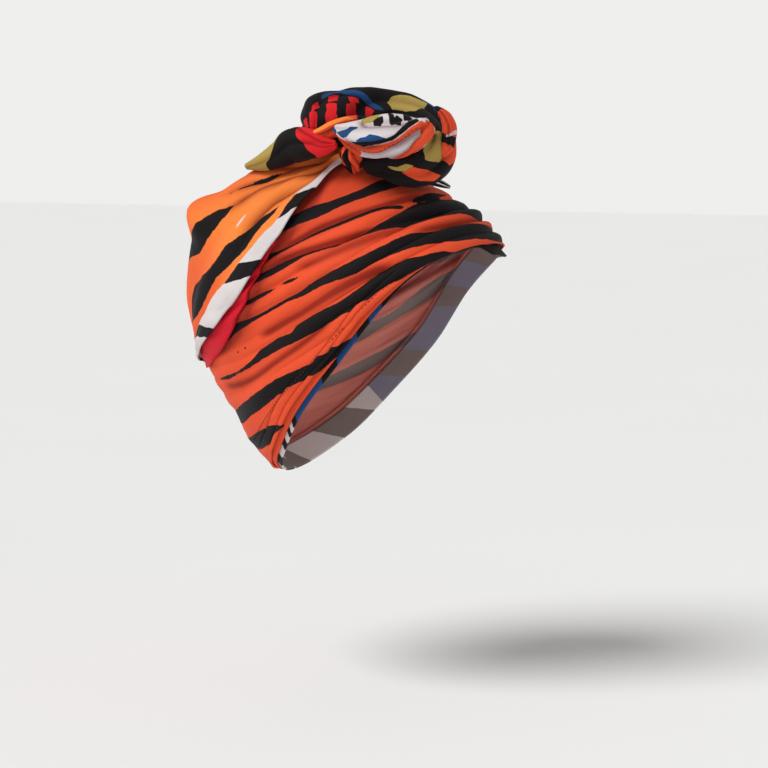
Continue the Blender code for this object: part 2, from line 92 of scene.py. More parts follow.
# What that noise makes: its strength and the least value, or a bump's height in metres and its strength
MOTTLED_TONE = (0.3, 0.85)
SPECKLED_TONE = (0.16, 0.92)
WORN_ROUGHNESS = (0.14, 0.6)
CREASED_BUMP = (0.0012, 0.35)
KNIT_BUMP = (0.00008, 0.5)

# Lower edge of each layer, as a polar angle, at turns that go round from the brow
RIM_TURN = (-180, -145, -118, -90, -58, -30, -8, 3, 8, 19, 30, 44, 58, 90, 118, 145, 180)
BAND_EDGE = (
    93.0, 92.0, 89.5, 87.5, 84.5, 88.6, 91.6, 91.0, 90.2, 88.4, 86.3, 84.5, 84.0, 87.0, 89.0, 92.0, 93.0
)
FOLD_EDGE = (
    94.5, 94.0, 91.8, 89.5, 85.6, 87.6, 90.6, 90.4, 89.4, 87.7, 85.8, 84.8, 85.3, 89.3, 91.4, 94.2, 94.5
)
UNDER_EDGE = (
    96.0, 96.0, 93.8, 91.5, 87.0, 89.8, 95.6, 94.6, 90.0, 88.0, 86.0, 85.2, 86.7, 91.4, 93.4, 96.0, 96.0
)
STRIP_SPAN = 10  # degrees that the two under layers reach up from their edges
STRIP_ROWS = 16
LAYER_GAP = 0.5 * MM
SNUG = 0.3 * MM  # between the hollow and the innermost cloth
RIM_FULL = 13  # degrees above the rim over which the band lies on the under layers
RIM_EASED = 24  # degrees above the rim where it has come down to the hollow
DRIFT = 0.22  # degrees that the folds and stripes climb for each degree of turn
DRIFT_ROUND = 9  # degrees over which they level out at the brow and the nape
DRIFT_LEVELS = 60  # degrees from the nape over which the climb turns back down
NAPE = 180
DEGREE = 1.55  # mm of cloth for a degree of polar angle

# Folds of the band: how high each stands in mm, at the turns that follow
BAND_FOLDS = table(
    "track spread brow temple ear nape",
    (64.5, 3.6, 1.8, 1.6, 0.8, 0.3),
    (71.5, 3.4, 2.6, 2.6, 1.2, 0.5),
    (78.0, 3.2, 3.0, 2.8, 1.0, 0.4),
    (83.6, 2.5, 2.0, 1.8, 1.2, 0.6),
    (88.8, 2.7, 1.4, 2.4, 1.4, 0.6),
    (94.6, 3.0, 0.6, 1.8, 1.2, 0.6),
    (101.0, 3.4, 0.0, 0.8, 1.4, 0.8),
)
FOLD_TURNS = (0, 45, 95, 180)
FOLDED_ZONE = 36  # degrees from the pole where the folds begin
FOLDS_RISE = 8  # degrees over which they rise from there
FOLDS_END = 3  # degrees over which they end at the rim
FOLD_PAINTED_SHADE = 0.35  # strength of the shade painted between the folds
FOLD_FOOT = 0.75  # how much of that painted shade lies at a fold's foot
FOLD_CLEARS = 1.6  # mm of height over which it would clear from full
FOLD_TURN = 50  # where it is fullest
FOLD_REACH = 60  # degrees of turn over which it fades
FOLD_HELD = 1.4  # more than 1, so that it stays full for some turns first
BAND_COLUMNS = 360
RIM_ROWS = 40  # fine rows over the pleats at the rim
RIM_ZONE = 14  # degrees that they cover
BODY_ROWS = 60
POLE_ROWS = 12
POLE_HOLE = 0.3  # degrees left open at the pole, under the drape

# Folds that gather where the band passes under the drape's hem
GATHERS = table(
    "track spread height turn reach",
    (54.5, 1.9, 1.6, 72, 24),
    (60.6, 1.9, 2.2, 82, 26),
    (66.8, 2.3, 2.0, 90, 26),
    (72.4, 2.0, 1.4, 98, 24),
)
# Soft valleys between the folds, which also set the shade painted along them: turn and track along each,
# depth and half width in mm
BAND_VALLEYS = table(
    "depth soft line",
    (1.9, 2.4, ((96, 60.5), (84, 59.6), (73, 59.2), (57, 59.4), (48, 60.4), (39, 61.8), (30, 63.6),
                (20, 65), (6, 66))),
    (2.2, 2.6, ((104, 63.5), (92, 62.6), (79, 62.8), (69, 63.8), (61, 65.6), (51, 67.8), (42, 69.6),
                (32, 72), (22, 74), (8, 75))),
    (1.2, 3.4, ((78, 68.6), (66, 69.8), (52, 72), (41, 73.8), (32, 75.6), (24, 77))),
    (1.7, 3.4, ((112, 83), (95, 83.2), (86, 83.7), (76, 83.9), (64, 84.1), (54, 84.9), (42, 86.4))),
    (1.3, 2.2, ((34, 79), (21, 80.2), (12, 80.7), (0, 80.6), (-14, 80.2), (-28, 79))),
    (1.4, 3.0, ((150, 95), (128, 95.4), (108, 94.8), (90, 94.2), (74, 93))),
    (1.8, 2.8, ((-20, 70.6), (-40, 66), (-58, 61), (-76, 59), (-96, 60))),
    (1.6, 3.0, ((-14, 76), (-34, 73.4), (-54, 72.2), (-74, 69), (-100, 70.4))),
    (1.6, 3.2, ((-44, 85.4), (-66, 83.6), (-88, 82.2), (-112, 83))),
)
VALLEY_FADE = 9  # degrees over which a valley begins and ends
VALLEY_DEEP = 1.4  # mm deep where a valley's painted shade is full
VALLEY_ASIDE = 0.55  # how far its painted shade lies to the upper side, in half widths
VALLEY_SHADE = 0.75  # how wide its painted shade is
HEM_COVER = 4.5  # mm beside the drape's hem that lie in its painted shadow
HEM_SHADOW = 4  # mm over which the painted shadow fades
HEM_ENDS = (-44, 40)  # stations between which the painted shadow lies
HEM_FADE = 8

# Fine tucks beside the rim: degrees above the edge, and the turns they run between
TUCKS = table(
    "above start end depth",
    (4.4, 40, 104, 1.1),
    (2.1, 38, 150, 1.2),
    (6.2, 100, 158, 0.8),
    (4.2, -140, -46, 1.1),
    (2.0, -152, -60, 1.0),
)
TUCK_WIDTH = 0.55  # degrees
TUCK_FADE = 12  # degrees of turn over which a tuck begins and ends
TUCK_WAVE = 0.35  # degrees that a tuck strays
TUCK_WAVES = 7  # times that it strays on its way round
TUCK_STEP = 0.4  # how high the cloth stands below a tuck, as a share of its depth
RIM_FLAT = 1.5  # degrees beside the edge where that dies out
# Ripples that run with the folds: length and width in degrees, height in mm, and the noise's seed
BAND_RIPPLES = ((16, 1.6, 0.22, 1), (34, 4.0, 0.75, 2))

# The drape's outline: half its width at stations from the knot to the hem, in degrees
LEAF = table(
    "station half",
    (44.0, 5.0),
    (37.0, 14.0),
    (32.5, 20.5),
    (29.0, 26.5),
    (23.0, 32.0),
    (13.0, 39.5),
    (-8.0, 44.3),
    (-22.5, 40.7),
    (-33.0, 33.5),
    (-41.0, 24.0),
    (-46.0, 14.0),
    (-48.5, 4.5),
)
# Ridges along the drape, with their heights in mm at the stations that follow
DRAPE_RIDGES = table(
    "share spread heights",
    (-0.78, 0.13, (2.5, 3.0, 2.8, 2.5, 3.0, 2.5, 0.5)),
    (-0.40, 0.24, (3.5, 5.0, 4.5, 7.0, 2.0, 2.5, 0.5)),
    (0.00, 0.20, (3.0, 3.5, 3.5, 7.0, 1.5, 2.8, 0.5)),
    (0.32, 0.25, (3.5, 6.0, 8.0, 17.5, 6.5, 3.2, 0.5)),
    (0.70, 0.15, (3.0, 4.0, 4.0, 4.0, 4.0, 3.0, 0.5)),
    (0.93, 0.08, (1.0, 1.2, 1.2, 1.2, 1.2, 1.2, 0.3)),
)
RIDGE_STATIONS = (44.0, 12.0, 2.0, -6.5, -13.5, -24.0, -48.5)
# Creases that fan out of the knot, with station and share along each
DRAPE_CREASES = creases(
    (2.0, 1, ((34, 0.66), (26, 0.54), (16.5, 0.47), (6.5, 0.39), (-1, 0.36))),
    (2.3, 1, ((35, 0.80), (29, 0.74), (21, 0.61), (11.5, 0.49), (2, 0.46), (-5, 0.45))),
    (1.8, -1, ((35, 0.90), (28, 0.88), (23.5, 0.84), (15, 0.76), (6, 0.77), (-3, 0.80))),
    (1.4, 1, ((33, 0.62), (27, 0.55), (21, 0.46), (16, 0.38), (10, 0.30), (2, 0.24))),
    (1.3, -1, ((32, 0.36), (22, 0.24), (12, 0.14), (0, 0.08))),
    (1.2, 1, ((32, 0.05), (22, 0.00), (12, -0.05), (0, -0.08))),
    (1.5, -1, ((33, -0.28), (22, -0.24), (10, -0.24), (-4, -0.28))),
    (1.6, 1, ((33, -0.56), (22, -0.50), (10, -0.44), (-2, -0.42), (-12, -0.40))),
    (1.3, -1, ((34, -0.80), (26, -0.70), (16, -0.63), (4, -0.60))),
    (1.1, 1, ((33, -0.93), (24, -0.88), (14, -0.86), (4, -0.87))),
)
CREASE_SHARP = 0.8  # mm over which a crease drops
CREASE_SHADED = 2.2  # mm over which its painted shade fades on the rising side
CREASE_SOFT = 5.0  # mm over which it rises again
CREASE_PAINTED_SHADE = 1.3  # how dark the shade painted in a crease of the drape is, before it is held to 1
CREASE_ENDS = (12, 3)  # stations over which a crease of the drape fades in from each end
ROLL_CREASE_ENDS = (8, 8)  # the same for a crease of a roll, in percent of its length
DRAPE_CLEAR = 0.15 * MM  # the least gap between the drape and the band
DRAPE_SETTLE = 0.2 * MM  # how softly the drape comes to rest on the band
DRAPE_COLUMNS = 170
DRAPE_ROWS = 180
DRAPE_RIPPLE = 0.45 * MM
DRAPE_FINE = 0.15 * MM
RIPPLE_SEED = 3
FINE_SEED = 4
SWELL_SEED = 5
SEED_STEPS = (7.3, 3.1, 5.7)  # how far apart seeds lie in the noise
RIPPLE_SHARE = 9  # ripples across the drape
RIPPLE_STATION = 14  # degrees along it for one ripple
FINE_RIPPLES = 2.4  # fine ripples in a broad one
HEM_INNER = 0.78  # share from which the drape's hem lies double
HEM_SLOPE = 0.1
HEM_SHARE = 0.985  # where the bead of the turned hem stands
BEAD = 0.35 * MM
BEAD_WIDTH = 0.015
FACING_LIFT = 0.5 * MM
FACING_INNER = 0.86
FACING_COLUMNS = 13
FACING_ROWS = 120
FACING_DARK = -46.2  # station past which the facing is dark
FACING_WIDE = 8  # mm of cloth from its inner edge to its outer one
FACING_EDGE = 0.4  # mm that the dark stops short of its outer edge
# How far the facing shows past the drape's hem, in degrees
FACING = table(
    "station showing",
    (12.0, 0.0),
    (-2.0, 1.0),
    (-8.0, 2.0),
    (-22.5, 4.9),
    (-33.0, 6.1),
    (-41.0, 5.5),
    (-46.0, 3.4),
    (-48.5, 0.5),
)

KNOT_HEADING = math.radians(-68)
KNOT_PLACE = (-20, -6, 17)  # mm
KNOT_LEAN = math.radians(27)
# The coil's path: how far it has turned, its ring's radius, its rise and the roll's radius in mm
COIL = table(
    "turn ring rise roll",
    (-3, 37, 1, 5.0),
    (8, 35, 2, 13.5),
    (22, 33, 2, 17.0),
    (50, 30, 0.5, 17.0),
    (90, 28, -2, 15.5),
    (135, 27, -4, 15.0),
    (175, 26, -6, 16.0),
    (205, 27, -8, 16.5),
    (230, 28, -9, 12.5),
    (262, 18, -9, 8.0),
    (292, 17, -9, 6.5),
    (315, 17, -9, 3.0),
)
# The knot's rolls, in the order they are laid
ROLLS = {
    "knot_coil": {"ground": "night", "pleats": 4, "twist": 0.6, "deep": 1.0},
    "crown_fold": {
        "ground": "scarlet", "pleats": 3, "twist": 0.15, "deep": 1.0,
        "path": route(
            (-76, -18, -18, 2.0),
            (-66, -15, -9, 5.5),
            (-56, -10.5, -3, 8.5),
            (-47, -5, 2, 11.0),
            (-40, -5, 9, 9.5),
            (-32, -6, 14, 6.0),
            (-25, -5, 16, 2.5),
        ),
    },
    "knot_neck": {
        "ground": "coral", "pleats": 7, "twist": 0.2, "deep": 1.0, "pleat_depth": 0.42,
        "path": route(
            (-15, -19, 4, 3.5),
            (-16, -14, 10, 6.0),
            (-17, -10, 13, 6.5),
            (-17, -6, 14, 4.0),
        ),
    },
    "knot_lobe": {
        "ground": "pearl", "pleats": 5, "twist": 0.25, "deep": 1.3,
        "path": route(
            (-25, 4, 15, 2.5),
            (-18, 1, 19, 7.5),
            (-7, -1, 22, 12.0),
            (6, -1, 24, 13.5),
            (17, 1, 24, 11.0),
            (24, 5, 21, 6.5),
            (27, 9, 18, 2.5),
        ),
    },
    "knot_strand": {
        "ground": "coral", "pleats": 2, "twist": 0.5, "deep": 0.9,
        "path": route(
            (-42, -2, 11, 2.0),
            (-34, 0, 13, 4.5),
            (-25, 4, 12, 5.0),
            (-16, 7, 10, 4.0),
            (-8, 9, 12, 1.8),
        ),
    },
    "knot_pleat": {
        "ground": "night", "pleats": 3, "twist": 0.1, "deep": 1.4,
        "path": route(
            (30, 15, 2, 1.5),
            (35, 10, 7, 3.5),
            (37, 3, 11, 4.0),
            (36, -5, 14, 3.5),
            (33, -11, 17, 1.5),
        ),
    },
    "knot_tail": {
        "ground": "night", "pleats": 2, "twist": 0.0, "deep": 0.7,
        "path": route(
            (20, -23, 14, 1.8),
            (27, -25, 10, 3.0),
            (33, -27, 6, 2.6),
            (38, -29, 3, 1.2),
        ),
    },
}
ROLL_SIDES = 96
ROLL_STATIONS = 120
COIL_STATIONS = 240
PLEAT_DEPTH = 0.2  # of the roll's radius
PLEAT_LEAN = 1.4  # more than 1 leans each pleat over its neighbour
PLEAT_FLAT = 0.8  # less than 1 rounds its crest
PLEAT_FINE = 0.04  # of the radius, for the fine pleats on it
PLEAT_SWAY = 0.5  # how far the fine pleats sway
PLEAT_SWAYS = 9  # radians that they sway through along a roll
PLEAT_PAINTED_SHADE = 0.55  # strength of the shade painted between pleats
PLEAT_LOW = 0.6  # height below which that painted shade lies
ROLL_SWELL = 0.035  # of the radius that a roll swells and shrinks
ROLL_SWELL_SIZE = 0.011  # metres from one swelling to the next

# Stripes of the print on the band: at each turn, the tracks of the upper and lower edge
STRIPES = (
    ((-16, 57.5, 57.5), (-4, 54, 58), (6, 53, 58.5), (20, 53.2, 58), (30, 53.8, 57.4), (40, 53, 56.4),
     (50, 51, 55.8), (60, 50.5, 54.6), (72, 52, 54), (84, 53, 53)),
    ((-6, 67, 67), (3, 65.4, 66.6), (9, 64.5, 67), (15, 64.3, 67), (17.5, 64.8, 66.6), (18.5, 66, 66)),
    ((22, 67, 67), (25, 64.9, 66.8), (31, 62.7, 64.7), (39, 61.4, 63.6), (48, 60.3, 62.4),
     (56, 59.5, 61), (66, 58.9, 60.3), (76, 58, 59.8), (90, 57, 60), (102, 58, 58)),
    ((-46, 82, 82), (-34, 79, 82), (-20, 74, 82), (-8, 70.5, 81.5), (1, 68, 79.4), (10, 67.3, 77.9),
     (20, 67.2, 77), (27, 68.3, 76.2), (33, 68.8, 73.5), (39, 68.8, 71.7), (45, 68.6, 70.1),
     (54, 67.1, 68), (61, 65.2, 66.5), (70, 63.4, 65.3), (80, 62.2, 65.5), (92, 61.8, 65), (110, 64, 64)),
    ((-40, 93, 93), (-24, 88, 93), (-6, 84.8, 91.6), (8, 82.7, 89.4), (20, 80.8, 88.4), (26, 79.8, 85.4),
     (33, 78.4, 84), (45, 77.8, 82.3), (60, 76.2, 80.4), (72, 74.3, 78), (80, 75.1, 77.4),
     (88, 74.3, 76.1), (101, 74.4, 76), (115, 73.7, 76.6), (126, 74, 78.2), (138, 76.5, 79.5),
     (150, 79, 79)),
    ((22, 91, 91), (28, 89.3, 91.2), (36, 88.2, 91.4), (43, 85.5, 92.1), (51, 85.2, 92.3),
     (57, 87, 92.5), (68, 87.7, 92.8), (76, 87, 92.9), (83, 86.1, 92.5), (90, 85.8, 91.9),
     (95, 87.4, 91.3), (103, 85.8, 90.3), (112, 86.3, 89.9), (119, 88, 89.8), (130, 89.2, 90.2),
     (143, 90, 91.4), (156, 91.5, 91.5)),
    ((70, 103, 103), (79, 102.4, 104.4), (87, 101.9, 106.2), (96, 102, 107.2), (105, 100.8, 106.2),
     (117, 99.8, 105.4), (125, 100.2, 106), (140, 101.6, 107.4), (153, 103.4, 109.2), (172, 107, 107)),
    ((126, 117.6, 117.6), (133, 114.6, 118), (140, 114, 120), (153, 115, 121.4), (166, 116, 120),
     (176, 118, 118)),
    ((75, 70.9, 70.9), (78, 69.9, 71.1), (83, 69.3, 70.4), (86, 69.9, 69.9)),
    ((87, 69.5, 69.5), (91, 68.6, 70.1), (97, 68.2, 70.1), (103, 68.3, 70.3), (108, 69.3, 69.3)),
    ((117, 83, 83), (119, 82.6, 83.4), (121, 83, 83)),
    ((122.5, 83.2, 83.2), (124, 82.8, 83.6), (126, 83.3, 83.3)),
    ((-176, 108, 108), (-160, 103, 109), (-140, 100, 104), (-120, 98.6, 103.6), (-100, 99, 102),
     (-84, 100.5, 100.5)),
    ((-172, 92, 92), (-158, 88, 93), (-140, 87.4, 90.6), (-118, 85.5, 91), (-96, 86.6, 90),
     (-74, 84.8, 90.6), (-56, 86.6, 89.6), (-46, 88, 88)),
    ((-150, 79.5, 79.5), (-134, 75.8, 80), (-112, 75.4, 77.4), (-90, 73.6, 78), (-70, 75.4, 78.4),
     (-52, 76.6, 83), (-38, 80, 84.6), (-28, 84, 84)),
    ((-112, 66, 66), (-98, 63, 67.4), (-80, 63.4, 65.6), (-62, 65.2, 70), (-46, 67.6, 71.4),
     (-30, 68.6, 72), (-18, 70, 70)),
    ((-96, 54, 54), (-80, 51.4, 55), (-62, 52.6, 57.6), (-44, 55.4, 58.4), (-28, 56, 61),
     (-14, 60.4, 60.4)),
    ((-150, 121, 121), (-138, 114.6, 124), (-120, 111.4, 122), (-104, 113, 116), (-96, 114, 114)),
    ((-84, 96.2, 96.2), (-70, 93.4, 97.4), (-54, 93.6, 98), (-42, 95.5, 95.5)),
    ((-180, 96.5, 96.5), (-172, 95.6, 98), (-160, 96.4, 98), (-150, 97, 97)),
)

# Stripes along the drape: at each station, the shares of the left and right edge
DRAPE_STRIPES = (
    ((4, 0.46, 0.46), (0, 0.44, 0.485), (-5, 0.43, 0.50), (-9, 0.40, 0.495), (-13, 0.34, 0.47),
     (-18, 0.23, 0.36), (-24, 0.14, 0.26), (-31, 0.09, 0.18), (-38, 0.07, 0.13), (-43, 0.1, 0.1)),
    ((18, 0.81, 0.81), (15, 0.79, 0.825), (11, 0.775, 0.825), (7.5, 0.765, 0.83), (2, 0.745, 0.84),
     (-4, 0.71, 0.81), (-8, 0.705, 0.79), (-13, 0.69, 0.765), (-18, 0.62, 0.765), (-23, 0.52, 0.76),
     (-28, 0.50, 0.74), (-35, 0.52, 0.66), (-42, 0.6, 0.6)),
    ((20, 0.47, 0.47), (16, 0.445, 0.48), (12, 0.42, 0.45), (8, 0.40, 0.415), (2, 0.385, 0.385)),
    ((26, -0.02, -0.02), (16, -0.08, 0.03), (6, -0.14, -0.02), (-8, -0.20, -0.06), (-22, -0.16, -0.04),
     (-34, -0.10, -0.10)),
    ((30, -0.36, -0.36), (18, -0.44, -0.33), (4, -0.52, -0.42), (-10, -0.56, -0.40), (-24, -0.52, -0.38),
     (-38, -0.42, -0.42)),
    ((24, -0.70, -0.70), (14, -0.76, -0.68), (2, -0.80, -0.70), (-12, -0.78, -0.64), (-26, -0.72, -0.62),
     (-36, -0.66, -0.66)),
    ((14, 0.20, 0.20), (4, 0.14, 0.22), (-8, 0.10, 0.20), (-18, 0.06, 0.10), (-26, 0.04, 0.04)),
)
PALE_STREAK = ((1, 0.70, 0.70), (3, 0.68, 0.695), (6, 0.665, 0.685), (8, 0.67, 0.67))
# Inner edge of the drape's pale border, and the dark bars that slant across it
BORDER_STATIONS = (44, 30, 25, 15.5, 10, 1.5, -3, -12.5, -18.5, -26, -32, -40, -47)
BORDER_SHARES = (0.76, 0.83, 0.895, 0.915, 0.905, 0.885, 0.87, 0.845, 0.82, 0.80, 0.78, 0.72, 0.55)
BORDER_BARS = table(
    "inner_top inner_foot outer_top outer_foot",
    (23, 15.5, 29, 22.5),
    (-3, -13, 4.5, -2.3),
    (-32, -38, -27.5, -33),
    (-47, -60, -46, -60),
)
BAR_SHARP = 0.8  # for the bars' slant, which brings their edges nearer
DRAPE_BLUSH = 0.75  # how far the drape's ground reddens towards its hem and middle
BLUSH_STATIONS = (4, 26)  # where that begins towards the hem, and over how many stations
BLUSH_SHARES = (0.52, 0.3)  # where that begins towards the middle, and over how many shares

PALE_TURN = 125  # turn past which the lowest layer's ground is pale
PALE_MOST = 3  # degrees of turn, where the distance stops counting
BAR_SLANT = 9  # degrees of turn that a bar slants over the layer's height
BAR_SHIFT = 2  # degrees back, so that they meet the layer's edge where they should
# Dark stretches of the lowest layer, as turns
UNDER_BARS = ((-40, 57), (65, 73), (87, 98), (121, 125), (128, 131), (135, 140), (147, 158), (-70, -58),
              (-112, -96), (-150, -132), (168, 181), (-181, -170))

# Patches of the print on each roll: the corners' places along it and round it, in percent
PATCHES = {
    "knot_coil": (
        ("scarlet", ((2.1, -17.5), (2.1, -10.5), (0.6, -12), (0.2, -19), (1.3, -19))),
        ("scarlet", ((2.5, -7.3), (3.3, -2), (2.5, 0), (0.8, 3), (-1, 6), (-1, -12), (1.7, -7.3))),
        ("scarlet", ((5.4, 2), (2.9, 6.2), (2.1, 10.5), (1, 20), (2, 34), (3, 20), (4.2, 11.5),
                     (7.1, 7.3))),
        ("scarlet", ((10, 10.5), (7.5, 14.6), (6.5, 20), (6, 36), (13, 36), (14, 24), (15.1, 14.6),
                     (15.1, 11.5))),
        ("scarlet", ((21, 12.5), (19.2, 18.8), (18, 30), (22, 30), (23.8, 17.7), (24.7, 16.7))),
        ("scarlet", ((4.2, -7.3), (6.3, -5.2), (4.6, -2), (2.9, -5.2))),
        ("scarlet", ((8.8, -1), (11.3, 2), (8.4, 6.2), (5.9, 3))),
        ("scarlet", ((13, 6.2), (17.6, 8.3), (17.2, 11.5), (11.7, 10.4))),
        ("navy", ((9.2, -7.3), (13, -10.4), (15.1, -1), (18.4, 4), (23.8, 9.4), (30.5, 15.6), (25, 15.6),
                  (19.2, 9.4), (14.6, 5.2), (11.5, 1), (8.8, -2), (8, -5))),
        ("olive", ((31, 9), (32, 4), (35, 0), (39, -3), (44, -6), (46, 2), (47.5, 8), (43, 12), (35, 14))),
        ("navy", ((40, -6), (44, -6), (47, -8), (48, -16), (42, -14))),
        ("olive", ((63, -17), (69, -16), (73, -8), (72, -2), (68, 6), (64, 8), (61, -4))),
        ("coral", ((58, -6), (65, -6), (68, -13), (67, -21), (58, -24))),
        ("coral", ((76.5, -16), (74.8, -11), (72.3, -18), (70, -24), (71.5, -27), (74, -24), (75.6, -20))),
        ("olive", ((80, -13), (78, -15.5), (76, -15), (74.8, -10.5), (75.8, -8.5), (77.4, -12))),
        ("scarlet", ((28, -40), (36, -30), (46, -28), (46, -38), (36, -42))),
        ("pearl", ((50, -32), (56, -30), (64, -40), (64, -49), (52, -46))),
        ("night", ((52, -36), (62, -46), (64, -44), (55, -33))),
        ("navy", ((12, -40), (18, -30), (26, -30), (27, -42), (16, -49))),
        ("olive", ((18, 24), (30, 30), (36, 44), (28, 49), (18, 40))),
        ("coral", ((40, 26), (52, 24), (58, 36), (50, 49), (42, 40))),
        ("navy", ((62, 22), (72, 18), (80, 30), (74, 46), (64, 38))),
        ("pearl", ((80, 10), (88, 14), (92, 30), (86, 40), (80, 26))),
    ),
    "crown_fold": (
        ("night", ((46, -48), (48, -10), (51, 0), (65, 20), (79, 38), (80, 49), (-5, 49), (-5, -48))),
        ("olive", ((42, -48), (45, -10), (46, 6), (34, 20), (22, 33), (20, 49), (-9, 49), (-9, -48))),
    ),
    "knot_lobe": (
        ("olive", ((27, 7), (34, 0), (38, -6), (45, -7), (42, 5), (38, 9), (30, 10))),
        ("night", ((39, 8), (41, 6), (44, 4), (45, 8), (44, 13), (39, 12))),
        ("night", ((46, -6), (50, 0), (53, 5), (56, 2), (61, 4), (58, 13), (52, 12), (49, 13))),
        ("night", ((60, -8), (63, 0), (62, 5), (66, 9), (72, 6), (72, -6))),
        ("navy", ((10, 26), (20, 13), (27, 12), (24, 17), (21, 25), (18, 28))),
        ("navy", ((28, 26), (31, 23), (35, 22), (38, 20), (42, 21), (47, 23), (43, 27), (33, 28))),
        ("night", ((24, 28), (33, 26), (42, 25), (48, 23), (56, 17), (66, 9), (74, 6), (73, 13),
                   (67, 16), (56, 21), (44, 28), (32, 33))),
        ("coral", ((10, 28), (24, 30), (33, 33), (44, 29), (56, 22), (66, 17), (74, 13), (76, 18),
                   (67, 22), (60, 25), (50, 31), (42, 37), (34, 38), (25, 37), (12, 34))),
        ("coral", ((-2, 36), (12, 33), (25, 36), (31, 41), (27, 49), (-2, 49))),
        ("coral", ((50, 44), (54, 40), (63, 33), (70, 27), (72, 20), (80, 14), (88, 20), (80, 34),
                   (68, 50), (52, 56))),
        ("night", ((82, -50), (84, 0), (86, 16), (82, 34), (86, 50), (104, 49), (104, -50))),
        ("navy", ((0, 20), (10, 24), (12, 34), (0, 36))),
    ),
    "knot_neck": (
        ("night", ((-4, -40), (40, -20), (46, 10), (36, 30), (-4, 60))),
        ("night", ((30, 24), (100, 27), (100, 30), (30, 29))),
        ("night", ((-4, 36), (100, 40), (104, 60), (-4, 60))),
    ),
    "knot_strand": (
        ("amber", ((10, 2), (70, 6), (80, 16), (20, 18))),
        ("night", ((82, -49), (84, 49), (104, 49), (104, -49))),
    ),
    "knot_pleat": (
        ("coral", ((14, -49), (16, 49), (52, 49), (58, 30), (62, 12), (60, -49))),
        ("pearl", ((50, -12), (58, 2), (63, 14), (66, 12), (61, -2), (54, -16))),
        ("coral", ((76, -49), (78, 49), (104, 49), (104, -49))),
        ("navy", ((-4, 20), (14, 24), (12, 44), (-4, 44))),
    ),
    "knot_tail": (
        ("pearl", ((20, 8), (96, 14), (96, 18), (20, 14))),
        ("pearl", ((30, 24), (100, 28), (100, 32), (30, 29))),
        ("scarlet", ((-4, -20), (26, -16), (24, 10), (-4, 10))),
    ),
}
ROLL_CREASES = {
    "knot_coil": creases(
        (1.6, 1, ((0, -14), (4, -8), (8, -1), (12, 3), (16, 6), (20, 11), (26, 20))),
        (1.8, 1, ((28, 18), (36, 15), (43, 13), (50, 8), (58, 2), (66, -2), (74, -4))),
        (1.4, -1, ((44, -8), (52, -8), (60, -8), (68, -16), (78, -22))),
    ),
    "crown_fold": creases(
        (1.6, 1, ((40, 2), (56, 4), (70, 12), (84, 16), (98, 18))),
        (1.2, -1, ((60, 26), (74, 24), (88, 28), (100, 30))),
    ),
    "knot_lobe": creases(
        (2.4, 1, ((4, 32), (16, 37), (25, 38), (34, 38), (42, 37), (50, 31), (60, 25), (67, 22), (78, 18))),
        (1.8, -1, ((36, 54), (46, 46), (54, 40), (63, 33), (70, 27), (76, 16))),
        (1.2, -1, ((14, 27), (24, 30), (33, 32), (44, 28), (56, 21), (67, 15), (77, 8))),
        (1.3, 1, ((22, 6), (30, 10), (40, 13), (52, 13), (60, 12), (68, 8))),
    ),
    "knot_strand": creases(
        (1.2, 1, ((6, 20), (30, 24), (54, 24), (76, 20), (94, 16))),
    ),
    "knot_pleat": creases(
        (1.4, 1, ((8, 14), (30, 10), (50, 6), (66, 4), (84, 0))),
        (1.2, 1, ((14, 30), (34, 26), (56, 24), (72, 20))),
    ),
}
# The hems sewn along the band, by turn and polar angle, and along the lobe, in percent
BAND_STITCHES = ((50, 82.6), (58, 82.1), (78, 82.6), (103, 83.2), (118, 82.6), (140, 83.2), (156, 82.4))
LOBE_STITCHES = ((12, 33), (25, 35.5), (34, 36.4), (42, 35), (50, 29), (60, 23.2), (70, 19))
BAND_HEM_POINTS = 400  # places along which a row of stitches is laid
LOBE_HEM_POINTS = 200

VIEW_DROP = 31.5  # pixels from the rim's middle down to the picture's
KEY_FROM = (0.62, -0.70, 0.95)  # towards the camera, to its right and up
FILL_FROM = (0.9, 0.8, 0.1)  # the same, in metres
SKY_WHITE = (1.0, 0.995, 0.985, 1)
SKY_RISE = (0.06, 0.35)  # heights between which the surroundings darken
KEY_BREADTH = math.radians(28)
FILL_BREADTH = 0.9  # metres
FLOOR_BREADTH = 12
FLOOR_GREYS = ((0.93, 0.93, 0.925, 1), (0.96, 0.96, 0.955, 1))


def smooth_table(at, places, values):
    """A smooth curve through a table's rows, with no overshoot, read at each value of at."""
    places, values = np.asarray(places, float), np.asarray(values, float)
    if places[0] > places[-1]:
        places, values = places[::-1], values[::-1]
    steps = np.diff(values) / np.diff(places)
    slopes = np.zeros_like(values)
    rising = steps[:-1] * steps[1:] > 0
    slopes[1:-1][rising] = (2 * steps[:-1] * steps[1:])[rising] / (steps[:-1] + steps[1:])[rising]
    at = np.clip(np.asarray(at, float), places[0], places[-1])
    i = np.clip(np.searchsorted(places, at, "right") - 1, 0, len(steps) - 1)
    width = places[i + 1] - places[i]
    s = (at - places[i]) / width
    return (
        (1 + 2 * s) * (1 - s) ** 2 * values[i]
        + s * (1 - s) ** 2 * width * slopes[i]
        + s * s * (3 - 2 * s) * values[i + 1]
        + s * s * (s - 1) * width * slopes[i + 1]
    )


def column(rows, name):
    """One column of a table, as a list."""
    return [row[name] for row in rows]


def read_line(at, line):
    """The second numbers of a line's places, read at values of the first."""
    return smooth_table(at, *zip(*line))


def fade_along(at, line, low_fade, high_fade):
    """How far a line has faded in from each of its ends, from 0 to 1."""
    low, high = sorted((line[0][0], line[-1][0]))
    return eased((at - low) / low_fade) * eased((high - at) / high_fade)


def eased(x):
    """A smooth step from 0 to 1."""
    x = np.clip(x, 0, 1)
    return x * x * (3 - 2 * x)


